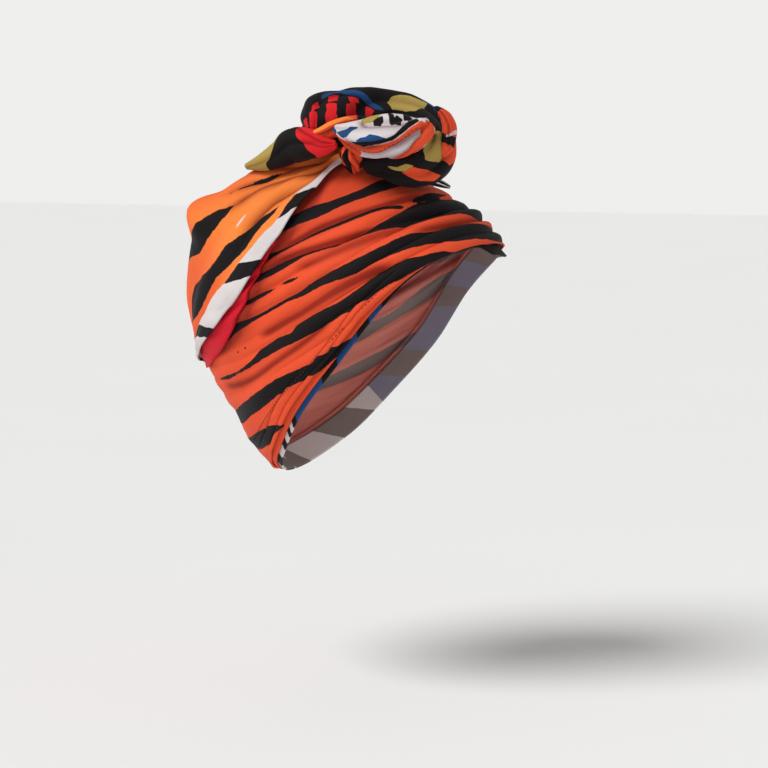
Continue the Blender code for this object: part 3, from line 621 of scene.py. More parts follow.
def drift(turn):
    """How far a fold or stripe has climbed from the brow to this turn, in degrees."""
    turn = np.abs(turn)
    from_brow = np.hypot(turn, DRIFT_ROUND) - DRIFT_ROUND
    from_nape = np.hypot(NAPE - turn, DRIFT_ROUND) - DRIFT_ROUND
    ahead = eased((NAPE - turn) / DRIFT_LEVELS)
    return DRIFT * (from_brow * ahead + (NAPE - from_nape) * (1 - ahead))


def edge_of(layer, turn):
    """A layer's lower edge, as a polar angle."""
    return smooth_table(turn, RIM_TURN, layer)


def leaf_half(station):
    """Half the drape's width, in degrees."""
    return smooth_table(station, column(LEAF, "station"), column(LEAF, "half"))


def facing_shown(station):
    """How far the facing shows past the drape's hem, in degrees."""
    return smooth_table(station, column(FACING, "station"), column(FACING, "showing"))


def leaf_polar(share, station):
    """Turn and polar angle of places on the drape: a share of its half width at a station."""
    side = share * leaf_half(station)
    return np.degrees(np.arctan2(side, station)), np.hypot(side, station)


def wander(points, size, seed):
    """Smooth noise from -1 to 1 at each point, with features of about this size."""
    offset = Vector([seed * step for step in SEED_STEPS])
    return np.array([noise.noise(Vector(p) / size + offset) for p in points])


class Wrap:
    """The form that the cloth is wound on, and the lie of each layer on it."""

    def __init__(self, sizes):
        lean = (math.sin(sizes.rim_tilt), math.cos(sizes.rim_tilt))
        self.axes = np.array([(1, 0, 0), (0, -lean[1], lean[0]), (0, lean[0], lean[1])])
        self.halves = np.array([sizes.head_width / 2, sizes.head_length / 2, sizes.head_depth])
        self.fullness = sizes.head_fullness
        self.cloth = sizes.cloth
        self.fold_lift = SNUG + self.cloth + LAYER_GAP
        self.rim_lift = self.fold_lift + self.cloth + LAYER_GAP
        self.middle = np.array([0, 0, -float(self.radius(self.axes @ np.array([0, 0, 1.0])))])

    def radius(self, directions):
        """How far the hollow reaches in each direction."""
        shares = np.abs(directions / self.halves)
        level = (shares[..., :2] ** 2).sum(-1) ** (self.fullness / 2)
        return (level + shares[..., 2] ** self.fullness) ** (-1 / self.fullness)

    def normals(self, local):
        """Directions square to the hollow at points on it."""
        shares = np.abs(local / self.halves)
        level = (shares[..., :2] ** 2).sum(-1, keepdims=True) + 1e-9
        slope = shares ** (self.fullness - 1)
        slope[..., :2] = level ** (self.fullness / 2 - 1) * shares[..., :2]
        slope *= np.sign(local) / self.halves
        return slope / np.linalg.norm(slope, axis=-1, keepdims=True)

    def place(self, turn, polar, lift):
        """Points that stand off the hollow by a lift, at turns and polar angles."""
        turn, polar, lift = np.broadcast_arrays(np.radians(turn), np.radians(polar), lift)
        directions = np.stack(
            [-np.sin(polar) * np.sin(turn), np.sin(polar) * np.cos(turn), np.cos(polar)], -1
        )
        surface = directions * self.radius(directions)[..., None]
        return self.middle + (surface + self.normals(surface) * lift[..., None]) @ self.axes

    def band_seat(self, turn, polar):
        """How far the band lies off the hollow without its folds."""
        above = edge_of(BAND_EDGE, turn) - polar
        return SNUG + (self.rim_lift - SNUG) * eased((RIM_EASED - above) / (RIM_EASED - RIM_FULL))

    def band_lift(self, turn, polar):
        """How far the band stands off the hollow with its main folds."""
        above = edge_of(BAND_EDGE, turn) - polar
        track = polar + drift(turn)
        folds = 0
        for fold in BAND_FOLDS:
            heights = [fold[name] for name in ("brow", "temple", "ear", "nape")]
            height = smooth_table(np.abs(turn), FOLD_TURNS, heights) * MM
            ridge = np.clip(1 - np.abs(track - fold["track"]) / fold["spread"], 0, 1)
            folds = folds + height * np.sqrt(eased(ridge))
        folds = folds * eased((polar - FOLDED_ZONE) / FOLDS_RISE) * eased((above + 1) / FOLDS_END)
        return self.band_seat(turn, polar) + folds

    def band_top(self, turn, polar):
        """How far the band stands off the hollow with all its folds, tucks and ripples."""
        return self.band_lift(turn, polar) + self.band_detail(turn, polar)

    def band_detail(self, turn, polar):
        """Gathers, tucks and ripples too fine for the band's main shape."""
        track = polar + drift(turn)
        detail = self.band_tucks(turn, polar)[0]
        for fold in GATHERS:
            near = eased(np.clip(1 - np.abs(track - fold["track"]) / fold["spread"], 0, 1))
            along = np.exp(-(((turn - fold["turn"]) / fold["reach"]) ** 2))
            detail = detail + fold["height"] * MM * near * along
        ripple = 0
        for run, width, height, seed in BAND_RIPPLES:
            places = np.stack([turn.ravel() / run, track.ravel() / width, 0 * track.ravel()], 1)
            ripple = ripple + height * MM * wander(places, 1.0, seed).reshape(track.shape)
        detail = detail + ripple * eased((polar - FOLDED_ZONE) / FOLDS_RISE)
        return detail - self.band_valleys(turn, polar)[0]

    def band_tucks(self, turn, polar):
        """The tucks along the rim: how far each point rises, and how much shade is painted in its groove.
        """
        above = edge_of(BAND_EDGE, turn) - polar
        rise, hollow = 0, 0
        for tuck in TUCKS:
            along = eased((turn - tuck["start"]) / TUCK_FADE) * eased((tuck["end"] - turn) / TUCK_FADE)
            away = above - tuck["above"] - TUCK_WAVE * np.sin(np.radians(turn * TUCK_WAVES))
            groove = np.exp(-((away / TUCK_WIDTH) ** 2))
            step = 0.5 * (1 - eased(away / (2 * TUCK_WIDTH) + 0.5)) * eased(above / RIM_FLAT)
            rise = rise + tuck["depth"] * MM * along * (TUCK_STEP * step - groove)
            # Painted shade in the tuck's groove
            hollow = np.maximum(hollow, along * groove)
        return rise, hollow

    def band_valleys(self, turn, polar):
        """The band's valleys: how far each point drops, and how much shade is painted on it."""
        track = polar + drift(turn)
        drop, hollow = 0, 0
        for valley in BAND_VALLEYS:
            away = (track - read_line(turn, valley["line"])) * DEGREE / valley["soft"]
            fade = fade_along(turn, valley["line"], VALLEY_FADE, VALLEY_FADE)
            drop = drop + valley["depth"] * np.exp(-(away ** 2)) * fade
            dark = np.exp(-(((away + VALLEY_ASIDE) / VALLEY_SHADE) ** 2))
            # Painted shade along the valley, set to its upper side
            hollow = np.maximum(hollow, dark * fade * valley["depth"] / VALLEY_DEEP)
        return drop * MM, hollow

    def hem_painted_shadow(self, turn, polar):
        """The shadow painted on the band beside the drape's hem, where the hem would shade it."""
        angle = np.radians(turn)
        side, station = polar * np.abs(np.sin(angle)), polar * np.cos(angle)
        away = (side - leaf_half(station) - facing_shown(station)) * DEGREE
        ends = eased((station - HEM_ENDS[0]) / HEM_FADE) * eased((HEM_ENDS[1] - station) / HEM_FADE)
        return np.exp(-np.maximum(away - HEM_COVER, 0) / HEM_SHADOW) * ends

    def drape_lift(self, share, station):
        """How far the drape stands off the hollow, with its ridges and its double hem."""
        turn, polar = leaf_polar(share, station)
        seat = self.band_lift(turn, polar) + self.cloth + LAYER_GAP
        hem = 2 * self.cloth * eased((np.abs(share) - HEM_INNER) / HEM_SLOPE)
        ridges = 0
        for ridge in DRAPE_RIDGES:
            height = smooth_table(station, RIDGE_STATIONS, ridge["heights"]) * MM
            near = np.clip(1 - np.abs(share - ridge["share"]) / ridge["spread"], 0, 1)
            ridges = ridges + height * eased(near)
        return seat + hem + ridges

    def drape_detail(self, share, station):
        """The drape's creases: how far each point drops, and how much shade is painted on it."""
        width = leaf_half(station) * DEGREE
        drop, hollow = 0, 0
        for crease in DRAPE_CREASES:
            away = (share - read_line(station, crease["line"])) * width
            fade = fade_along(station, crease["line"], *CREASE_ENDS)
            step, dark = crease_shape(away * crease["side"])
            drop = drop + crease["depth"] * step * fade
            # Painted shade in the crease
            hollow = np.maximum(hollow, CREASE_PAINTED_SHADE * dark * fade)
        return -drop * MM, hollow


def knot_axes():
    """Ahead, up and out of the knot, as directions."""
    ahead = (math.cos(KNOT_HEADING), math.sin(KNOT_HEADING), 0)
    out = (math.sin(KNOT_HEADING), -math.cos(KNOT_HEADING), 0)
    return np.array([ahead, (0, 0, 1), out], float)


def coil_path(stations):
    """The coil's middle line round the knot and its radius along it."""
    ahead, up, out = knot_axes()
    axis = math.cos(KNOT_LEAN) * up + math.sin(KNOT_LEAN) * out
    over = math.sin(KNOT_LEAN) * up - math.cos(KNOT_LEAN) * out
    turns = np.linspace(COIL[0]["turn"], COIL[-1]["turn"], stations)
    ring, rise, roll = (
        smooth_table(turns, column(COIL, "turn"), column(COIL, name)) * MM
        for name in ("ring", "rise", "roll")
    )
    angle = np.radians(turns)
    across = -np.cos(angle)[:, None] * ahead + np.sin(angle)[:, None] * over
    return np.array(KNOT_PLACE) * MM + across * ring[:, None] + axis * rise[:, None], roll


def roll_path(rows, stations):
    """A roll's middle line and its radius along it."""
    places = np.linspace(0, len(rows) - 1, stations)
    ahead, up, out, roll = (
        smooth_table(places, range(len(rows)), column(rows, name)) * MM
        for name in ("ahead", "up", "out", "roll")
    )
    return np.array(KNOT_PLACE) * MM + np.stack([ahead, up, out], 1) @ knot_axes(), roll


def frame_along(path):
    """Two directions square to a path at each of its points, without twist."""
    tangents = np.gradient(path, axis=0)
    tangents /= np.linalg.norm(tangents, axis=1, keepdims=True)
    normals = np.empty_like(path)
    guide = np.array([0, 0, 1.0])
    for i, tangent in enumerate(tangents):
        guide = guide - tangent * (guide @ tangent)
        guide /= np.linalg.norm(guide)
        normals[i] = guide
    return normals, np.cross(tangents, normals)


def crease_shape(away):
    """A crease's drop and its painted shade, from 0 to 1, at distances in mm to each side of it."""
    reach = np.where(away > 0, away / CREASE_SOFT, -away / CREASE_SHARP)
    return np.exp(-reach), np.exp(-np.where(away > 0, away / CREASE_SHADED, -away / CREASE_SHARP))


def outline_field(outline, x, y):
    """Distance inside a closed outline, in the units of its corners."""
    nearest = np.full(x.shape, np.inf)
    inside = np.zeros(x.shape, bool)
    for (ax, ay), (bx, by) in zip(outline, outline[1:] + outline[:1]):
        wide, high = bx - ax, by - ay
        reach = np.clip(((x - ax) * wide + (y - ay) * high) / (wide ** 2 + high ** 2), 0, 1)
        nearest = np.minimum(nearest, np.hypot(x - ax - reach * wide, y - ay - reach * high))
        if high:
            inside ^= ((ay > y) != (by > y)) & (x < ax + (y - ay) * wide / high)
    return np.where(inside, nearest, -nearest)


def stripe_field(across, along, rows, scale):
    """Distance inside a stripe in mm: rows give its two edges at places along it."""
    places, lows, highs = zip(*rows)
    low, high = smooth_table(along, places, lows), smooth_table(along, places, highs)
    inside = np.minimum(across - low, high - across) * scale
    ends = np.minimum(along - min(places), max(places) - along)
    return np.where(ends < 0, np.minimum(inside, ends), inside)


def stripes_field(across, along, stripes, scale):
    """Distance inside the nearest of several stripes."""
    return np.max([stripe_field(across, along, rows, scale) for rows in stripes], axis=0)


def grid_mesh(name, points, fields, closed):
    """A mesh through a grid of points, rows by columns, with cloth lengths as its UVs."""
    uv = cloth_lengths(points, closed)
    rows, columns = points.shape[:2]
    index = np.arange(rows * columns).reshape(rows, columns)
    beside = np.roll(index, -1, 1) if closed else index[:, 1:]
    here = index if closed else index[:, :-1]
    faces = np.stack([here[:-1], beside[:-1], beside[1:], here[1:]], -1).reshape(-1, 4)
    flat = points.reshape(-1, 3)
    corner, next_one, last = flat[faces[:, 0]], flat[faces[:, 1]], flat[faces[:, 3]]
    facing = (np.cross(next_one - corner, last - corner) * (corner - flat.mean(0))).sum()
    order = [0, 1, 2, 3] if facing > 0 else [3, 2, 1, 0]
    faces = faces[:, order]
    mesh = bpy.data.meshes.new(name)
    mesh.from_pydata(flat.tolist(), [], faces.tolist())
    r, c = np.meshgrid(np.arange(rows - 1), np.arange(here.shape[1]), indexing="ij")
    loops = np.stack([uv[r, c], uv[r, c + 1], uv[r + 1, c + 1], uv[r + 1, c]], -2)
    loops = loops.reshape(-1, 4, 2)[:, order]
    layer = mesh.uv_layers.new(name="cloth")
    layer.data.foreach_set("uv", loops.astype(np.float32).ravel())
    for field, values in fields.items():
        mesh.attributes.new(field, "FLOAT", "POINT").data.foreach_set(
            "value", np.asarray(values, np.float32).ravel()
        )
    mesh.shade_smooth()
    mesh.update()
    return mesh


def cloth_lengths(points, closed):
    """Lengths of cloth along the rows and columns of a grid, in metres."""
    looped = np.concatenate([points, points[:, :1]], 1) if closed else points
    across = np.linalg.norm(np.diff(looped, axis=1), axis=-1).mean(0)
    along = np.linalg.norm(np.diff(points, axis=0), axis=-1).mean(1)
    u = np.concatenate([[0], np.cumsum(across)])
    v = np.concatenate([[0], np.cumsum(along)])
    return np.stack(np.meshgrid(u, v), -1)


def put(name, data, context):
    """A new object with this data, in the scene."""
    obj = bpy.data.objects.new(name, data)
    context.scene.collection.objects.link(obj)
    return obj


def show(name, mesh, material, node, context):
    """A piece of the visible model that stands for a node of the frame."""
    obj = put(name, mesh, context)
    mesh.materials.append(material)
    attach(obj, "root")
    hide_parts(node)
    return obj


def sheet_piece(node, mesh, ground, inks, context):
    """A sheet of jersey as thick as its cloth, printed on the outside and faded on the inside."""
    obj = show(mesh.name, mesh, jersey(node + "_cloth_print", ground, inks, context), node, context)
    mesh.materials.append(jersey(node + "_cloth_reverse", ground, inks, context, faded=FADED))
    wall = obj.modifiers.new("cloth", "SOLIDIFY")
    wall.thickness = context.scene.headwrap_sizes.cloth
    wall.offset = 1
    wall.material_offset = 1
    return obj


def stitch_rows(name, node, rows, context):
    """Stitches laid end to end along rows of points."""
    sizes, colours = context.scene.headwrap_sizes, context.scene.headwrap_colours
    built = bmesh.new()
    for row in rows:
        lengths = np.concatenate([[0], np.cumsum(np.linalg.norm(np.diff(row, axis=0), axis=1))])
        for start in np.arange(0, lengths[-1] - sizes.stitch, sizes.stitch_pitch):
            near, far = (
                Vector([np.interp(place, lengths, row[:, axis]) for axis in range(3)])
                for place in (start, start + sizes.stitch)
            )
            lie = (far - near).to_track_quat("X", "Z").to_matrix().to_4x4()
            stretch = Matrix.Diagonal(((far - near).length / 2, THREAD, THREAD, 1))
            place = Matrix.Translation((near + far) / 2) @ lie @ stretch
            bmesh.ops.create_icosphere(built, subdivisions=1, radius=1, matrix=place)
    mesh = bpy.data.meshes.new(name)
    built.to_mesh(mesh)
    built.free()
    mesh.shade_smooth()
    build = Nodes(name + "_thread")
    coords = build.add("ShaderNodeTexCoord").outputs["Object"]
    tone = build.noise(coords, *SPUN)
    thread = build.mix(tone, rgba(colours.night), STITCH_BROWN)
    build.link(thread, build.shader.inputs["Base Color"])
    build.shader.inputs["Roughness"].default_value = 0.7
    return show(name, mesh, build.material, node, context)


class Nodes:
    """Builds a material's nodes."""

    def __init__(self, name):
        self.material = bpy.data.materials.new(name)
        self.material.use_nodes = True
        self.tree = self.material.node_tree
        self.shader = self.tree.nodes["Principled BSDF"]

    def add(self, kind, **settings):
        node = self.tree.nodes.new(kind)
        for key, value in settings.items():
            setattr(node, key, value)
        return node

    def link(self, source, target):
        self.tree.links.new(source, target)

    def value(self, source, socket):
        if isinstance(source, (int, float, tuple, list)):
            socket.default_value = source
        else:
            self.link(source, socket)

    def math(self, operation, a, b=0.0, c=0.0):
        node = self.add("ShaderNodeMath", operation=operation)
        for source, socket in zip((a, b, c), node.inputs):
            self.value(source, socket)
        return node.outputs[0]

    def field(self, name):
        return self.add("ShaderNodeAttribute", attribute_name=name).outputs["Fac"]

    def noise(self, vector, scale, detail=2.0, rough=0.5):
        node = self.add("ShaderNodeTexNoise")
        self.link(vector, node.inputs["Vector"])
        node.inputs["Scale"].default_value = scale
        node.inputs["Detail"].default_value = detail
        node.inputs["Roughness"].default_value = rough
        return node.outputs["Fac"]

    def mix(self, factor, a, b, blend="MIX"):
        node = self.add("ShaderNodeMix", data_type="RGBA", blend_type=blend)
        self.value(factor, node.inputs[0])
        self.value(a, node.inputs[6])
        self.value(b, node.inputs[7])
        return node.outputs[2]

    def bump(self, height, distance, strength, normal=None):
        node = self.add("ShaderNodeBump")
        node.inputs["Distance"].default_value = distance
        node.inputs["Strength"].default_value = strength
        self.link(height, node.inputs["Height"])
        if normal is not None:
            self.link(normal, node.inputs["Normal"])
        return node.outputs["Normal"]


def rgba(colour):
    """A colour with its alpha."""
    return (*colour, 1.0)


def jersey(name, ground, inks, context, faded=0.0):
    """Printed jersey with shade painted in its folds: inks is a list of (field, colour name), painted in
    that order.
    """
    sizes, colours = context.scene.headwrap_sizes, context.scene.headwrap_colours
    build = Nodes(name)
    uv = build.add("ShaderNodeUVMap", uv_map="cloth").outputs["UV"]
    ragged = build.math("MULTIPLY_ADD", build.noise(uv, *RAGGED), 2.0, -1.0)
    fibre = build.math("MULTIPLY_ADD", build.noise(uv, *FRAYED), 2.0, -1.0)
    stray = build.math("MULTIPLY", ragged, sizes.raggedness / MM)
    wobble = build.math("ADD", stray, build.math("MULTIPLY", fibre, FIBRE))
    colour = build.mix(build.field("blush"), rgba(getattr(colours, ground)), rgba(colours.coral))
    for field, ink in inks:
        reach = build.math("ADD", build.field(field), wobble)
        edge = build.add("ShaderNodeMapRange", interpolation_type="SMOOTHSTEP")
        build.link(reach, edge.inputs["Value"])
        edge.inputs["From Min"].default_value = -PRINT_EDGE
        edge.inputs["From Max"].default_value = PRINT_EDGE
        colour = build.mix(edge.outputs["Result"], colour, rgba(getattr(colours, ink)))
    if faded:
        colour = build.mix(faded, colour, rgba(colours.reverse))
    # Painted shade: the colour is darkened towards the shade colour in folds, creases, pleats and beside
    # the drape's hem
    hollow = build.math("MINIMUM", build.field("hollow"), 1.0)
    hollow = build.math("MULTIPLY", hollow, PAINTED_SHADE_MOST)
    colour = build.mix(hollow, colour, rgba(colours.shade), "MULTIPLY")
    mottle = build.math("MULTIPLY_ADD", build.noise(uv, *MOTTLED), *MOTTLED_TONE)
    speck = build.math("MULTIPLY_ADD", build.noise(uv, *SPECKLED), *SPECKLED_TONE)
    tone = build.math("MULTIPLY", mottle, speck)
    shaded = build.add("ShaderNodeVectorMath", operation="SCALE")
    build.link(colour, shaded.inputs[0])
    build.link(tone, shaded.inputs["Scale"])
    build.link(shaded.outputs[0], build.shader.inputs["Base Color"])
    split = build.add("ShaderNodeSeparateXYZ")
    build.link(uv, split.inputs[0])
    wale = build.math("COSINE", build.math("MULTIPLY", split.outputs[0], 2 * math.pi / sizes.wale))
    lean = build.math("MULTIPLY", wale, LOOP_LEAN)
    course = build.math("MULTIPLY_ADD", split.outputs[1], 2 * math.pi / sizes.course, lean)
    knit = build.math("ADD", build.math("MULTIPLY", wale, WALE_DEPTH), build.math("SINE", course))
    soft = build.bump(build.noise(uv, *CREASED), *CREASED_BUMP)
    build.link(build.bump(knit, *KNIT_BUMP, soft), build.shader.inputs["Normal"])
    rough = build.math("MULTIPLY_ADD", build.noise(uv, *WORN), *WORN_ROUGHNESS)
    build.link(rough, build.shader.inputs["Roughness"])
    build.shader.inputs["Sheen Weight"].default_value = 0.03
    build.shader.inputs["Sheen Roughness"].default_value = 0.45
    build.shader.inputs["Specular IOR Level"].default_value = 0.12
    return build.material


def length(name, description, default):
    return FloatProperty(name=name, description=description, default=default, unit="LENGTH", precision=6)


def angle(name, description, degrees):
    return FloatProperty(name=name, description=description, default=math.radians(degrees), subtype="ANGLE")


def amount(name, description, default):
    return FloatProperty(name=name, description=description, default=default)


def colour_setting(name, description, default):
    return FloatVectorProperty(
        name=name, description=description, default=default, subtype="COLOR", size=3, min=0, max=1
    )


class HeadwrapSizes(PropertyGroup):
    """Sizes of the hollow, the cloth and its stitches."""

    head_length: length("Head length", "Nape to forehead along the rim", 0.176)
    head_width: length("Head width", "Across the ears", 0.146)
    head_depth: length("Head depth", "Rim to pole", 0.120)
    head_fullness: amount("Head fullness", "How full the hollow is, 2 is an ellipse", 2.5)
    rim_tilt: angle("Rim tilt", "How far the wrap leans back", 45)
    cloth: length("Cloth", "Thickness of a layer of cloth", 0.0012)
    wale: length("Wale", "Width of a column of knit loops", 0.0009)
    course: length("Course", "Height of a row of knit loops", 0.0008)
    raggedness: length("Raggedness", "How far a printed edge strays", 0.0006)
    stitch: length("Stitch", "Length of a stitch", 0.0017)
    stitch_pitch: length("Stitch pitch", "From one stitch to the next", 0.0026)


class HeadwrapColours(PropertyGroup):
    """Colours of the printed jersey, and of the shade painted on it."""

    coral: colour_setting("Coral", "Ground of the band", (0.79, 0.083, 0.027))
    amber: colour_setting("Amber", "Ground of the drape", (0.95, 0.25, 0.045))
    # The colour of the shade painted into folds, creases and pleats, and of the drape hem's painted shadow
    # on the band
    shade: colour_setting("Shade", "What the folds' depths are tinted with", (0.26, 0.10, 0.16))
    reverse: colour_setting("Reverse", "What shows through on the cloth's back", (0.62, 0.50, 0.46))
    night: colour_setting("Night", "Stripes", (0.008, 0.006, 0.0065))
    pearl: colour_setting("Pearl", "Pale blocks", (0.68, 0.63, 0.63))
    scarlet: colour_setting("Scarlet", "Bright red blocks", (0.74, 0.016, 0.022))
    crimson: colour_setting("Crimson", "Deep red facing", (0.62, 0.008, 0.022))
    navy: colour_setting("Navy", "Blue blocks", (0.014, 0.065, 0.20))
    olive: colour_setting("Olive", "Olive blocks", (0.42, 0.30, 0.075))


class HeadwrapStage(PropertyGroup):
    """The camera, the floor and the lights."""

    azimuth: angle("Azimuth", "Camera's turn round the wrap", -68)
    elevation: angle("Elevation", "Camera's height angle", 6)
    distance: length("Distance", "Camera to the rim's middle", 1.6)
    pixel: length("Pixel", "Width of a pixel at the rim's middle", 0.00057)
    floor_drop: length("Floor drop", "Floor below the wrap's origin", 0.30)
    key: amount("Key", "Strength of the main light", 2.25)
    fill: amount("Fill", "Power of the second light", 1.2)
    horizon: amount("Horizon", "Strength of the surroundings at the horizon", 0.865)
    sky: amount("Sky", "Strength of the surroundings overhead", 0.32)


class HEADWRAP_OT_band(Operator):
    """Winds the printed band round"""

    bl_idname = "headwrap.band"
    bl_label = "Band"

    def execute(self, context):
        wrap = Wrap(context.scene.headwrap_sizes)
        turn = np.linspace(-180, 180, BAND_COLUMNS, endpoint=False)[None, :]
        edge = edge_of(BAND_EDGE, turn)
        rim = np.linspace(0, 1, RIM_ROWS, endpoint=False)[:, None]
        body = np.linspace(0, 1, BODY_ROWS, endpoint=False)[:, None]
        pole = np.linspace(0, 1, POLE_ROWS)[:, None]
        polar = np.concatenate([
            edge - RIM_ZONE * rim,
            edge - RIM_ZONE + (FOLDED_ZONE - edge + RIM_ZONE) * body,
            FOLDED_ZONE * (1 - pole) + POLE_HOLE * pole + 0 * turn,
        ])
        turns = turn + 0 * polar
        lift = wrap.band_top(turns, polar)
        # Painted shade between the band's folds, fullest near the temple
        painted_fold_shade = np.clip(FOLD_FOOT - (lift - wrap.band_seat(turns, polar)) / MM / FOLD_CLEARS, 0, 1)
        painted_fold_shade = painted_fold_shade * eased((polar - FOLDED_ZONE) / FOLDS_RISE)
        fields = {
            "night": stripes_field(polar + drift(turns), turns, STRIPES, DEGREE),
            # Painted shade on the band: between its folds, in its valleys and tucks, and the drape hem's
            # painted shadow
            "hollow": np.max([
                FOLD_PAINTED_SHADE * painted_fold_shade * eased(FOLD_HELD - np.abs(turns - FOLD_TURN) / FOLD_REACH),
                wrap.band_valleys(turns, polar)[1],
                wrap.band_tucks(turns, polar)[1],
                wrap.hem_painted_shadow(turns, polar),
            ], axis=0),
        }
        mesh = grid_mesh("wrap_band_cloth", wrap.place(turns, polar, lift), fields, True)
        band = sheet_piece("wrap_band", mesh, "coral", [("night", "night")], context)
        self.stitches(wrap, context)
        return {"FINISHED"}

    def stitches(self, wrap, context):
        """The hem's stitches, one row on each side."""
        rows = []
        for side in (1, -1):
            turn = np.linspace(BAND_STITCHES[0][0], BAND_STITCHES[-1][0], BAND_HEM_POINTS)
            polar = read_line(turn, BAND_STITCHES)
            lift = wrap.band_top(side * turn, polar) + wrap.cloth + STITCH_PROUD
            rows.append(wrap.place(side * turn, polar, lift))
        return stitch_rows("band_stitches", "wrap_band", rows, context)


class HEADWRAP_OT_rim(Operator):
    """Lays the two under layers inside the band's rim"""

    bl_idname = "headwrap.rim"
    bl_label = "Rim layers"

    def execute(self, context):
        wrap = Wrap(context.scene.headwrap_sizes)
        turn, share = np.meshgrid(
            np.linspace(-180, 180, BAND_COLUMNS, endpoint=False), np.linspace(0, 1, STRIP_ROWS)
        )
        layers = (
            ("rim_fold", FOLD_EDGE, wrap.fold_lift, "coral"),
            ("under_band", UNDER_EDGE, SNUG, "navy"),
        )
        for node, layer, lift, ground in layers:
            polar = edge_of(layer, turn) - STRIP_SPAN * share
            if node == "rim_fold":
                night = stripes_field(polar + drift(turn), turn, STRIPES, DEGREE)
                pale = np.full_like(night, NO_PRINT)
            else:
                slanted = turn + BAR_SLANT * share - BAR_SHIFT
                bars = [np.minimum(slanted - low, high - slanted) for low, high in UNDER_BARS]
                night = np.max(bars, axis=0) * DEGREE
                pale = np.minimum(np.abs(turn) - PALE_TURN, PALE_MOST) * DEGREE
            fields = {"night": night, "pearl": pale}
            mesh = grid_mesh(node + "_cloth", wrap.place(turn, polar, lift), fields, True)
            strip = sheet_piece(node, mesh, ground, [("pearl", "pearl"), ("night", "night")], context)
        return {"FINISHED"}


class HEADWRAP_OT_drape(Operator):
    """Drapes the leaf of cloth over the crown, with its turned-back facings"""

    bl_idname = "headwrap.drape"
    bl_label = "Crown drape"

    def execute(self, context):
        wrap = Wrap(context.scene.headwrap_sizes)
        share, station = np.meshgrid(
            np.linspace(-1, 1, DRAPE_COLUMNS + 1),
            np.linspace(LEAF[0]["station"], LEAF[-1]["station"], DRAPE_ROWS + 1),
        )
        detail, hollow = wrap.drape_detail(share, station)
        width = leaf_half(station) * DEGREE
        bars, border = self.border(share, station, width)
        stripes = stripes_field(share, station, DRAPE_STRIPES, 1.0) * width
        streak = stripe_field(share, station, PALE_STREAK, 1.0) * width
        to_hem = eased((BLUSH_STATIONS[0] - station) / BLUSH_STATIONS[1])
        to_middle = eased((BLUSH_SHARES[0] - np.abs(share)) / BLUSH_SHARES[1])
        fields = {
            "pearl": np.maximum(border, streak),
            "night": np.maximum(bars, stripes),
            # Painted shade in the drape's creases
            "hollow": hollow,
            "blush": DRAPE_BLUSH * np.maximum(to_hem, to_middle),
        }
        mesh = grid_mesh("crown_drape_cloth", self.surface(wrap, share, station, detail), fields, False)
        drape = sheet_piece("crown_drape", mesh, "amber", [("pearl", "pearl"), ("night", "night")], context)
        self.facings(wrap, context)
        return {"FINISHED"}

    def surface(self, wrap, share, station, detail):
        """The drape's points: its ridges, creases and ripples, laid to rest on the band."""
        turn, polar = leaf_polar(share, station)
        places = [share.ravel() * RIPPLE_SHARE, station.ravel() / RIPPLE_STATION, 0 * share.ravel()]
        places = np.stack(places, 1)
        ripple = DRAPE_RIPPLE * wander(places, 1.0, RIPPLE_SEED)
        ripple = ripple + DRAPE_FINE * wander(places * FINE_RIPPLES, 1.0, FINE_SEED)
        lift = wrap.drape_lift(share, station) + detail + ripple.reshape(share.shape)
        seat = wrap.band_top(turn, polar) + wrap.cloth + DRAPE_CLEAR
        lift = seat + DRAPE_SETTLE * np.logaddexp(0, (lift - seat) / DRAPE_SETTLE)
        bead = BEAD * np.exp(-(((np.abs(share) - HEM_SHARE) / BEAD_WIDTH) ** 2))
        return wrap.place(turn, polar, lift + bead)

    def border(self, share, station, width):
        """Distances inside the border's dark bars and inside the border itself."""
        inner = smooth_table(station, BORDER_STATIONS, BORDER_SHARES)
        side = np.where(share > 0, share, -share * HEM_SHARE)
        border = (side - inner) * width
        across = (side - inner) / (1 - inner)
        bars = []
        for bar in BORDER_BARS:
            top = bar["inner_top"] + (bar["outer_top"] - bar["inner_top"]) * across
            foot = bar["inner_foot"] + (bar["outer_foot"] - bar["inner_foot"]) * across
            bars.append(np.minimum(top - station, station - foot) * DEGREE * BAR_SHARP)
        return np.minimum(np.max(bars, axis=0), border), border

    def facings(self, wrap, context):
        """The facings turned back under the drape's hem, one on each side."""
        for node, side in (("hem_facing_right", 1), ("hem_facing_left", -1)):
            across, station = np.meshgrid(
                np.linspace(0, 1, FACING_COLUMNS),
                np.linspace(FACING[0]["station"], FACING[-1]["station"], FACING_ROWS),
            )
            turn, polar = leaf_polar(side * (FACING_INNER + (1 - FACING_INNER) * across), station)
            polar = polar + facing_shown(station) * across
            points = wrap.place(turn, polar, wrap.band_top(turn, polar) + wrap.cloth + FACING_LIFT)
            edge = (across - 1.0) * FACING_WIDE - FACING_EDGE
            fields = {"night": np.maximum((FACING_DARK - station) * DEGREE, edge)}
            mesh = grid_mesh(node + "_cloth", points, fields, False)
            facing = sheet_piece(node, mesh, "crimson", [("night", "night")], context)


def around_percent(around):
    """Places round a roll, from -50 to 50 percent."""
    return (around / (2 * math.pi) + 0.5) % 1 * 100 - 50


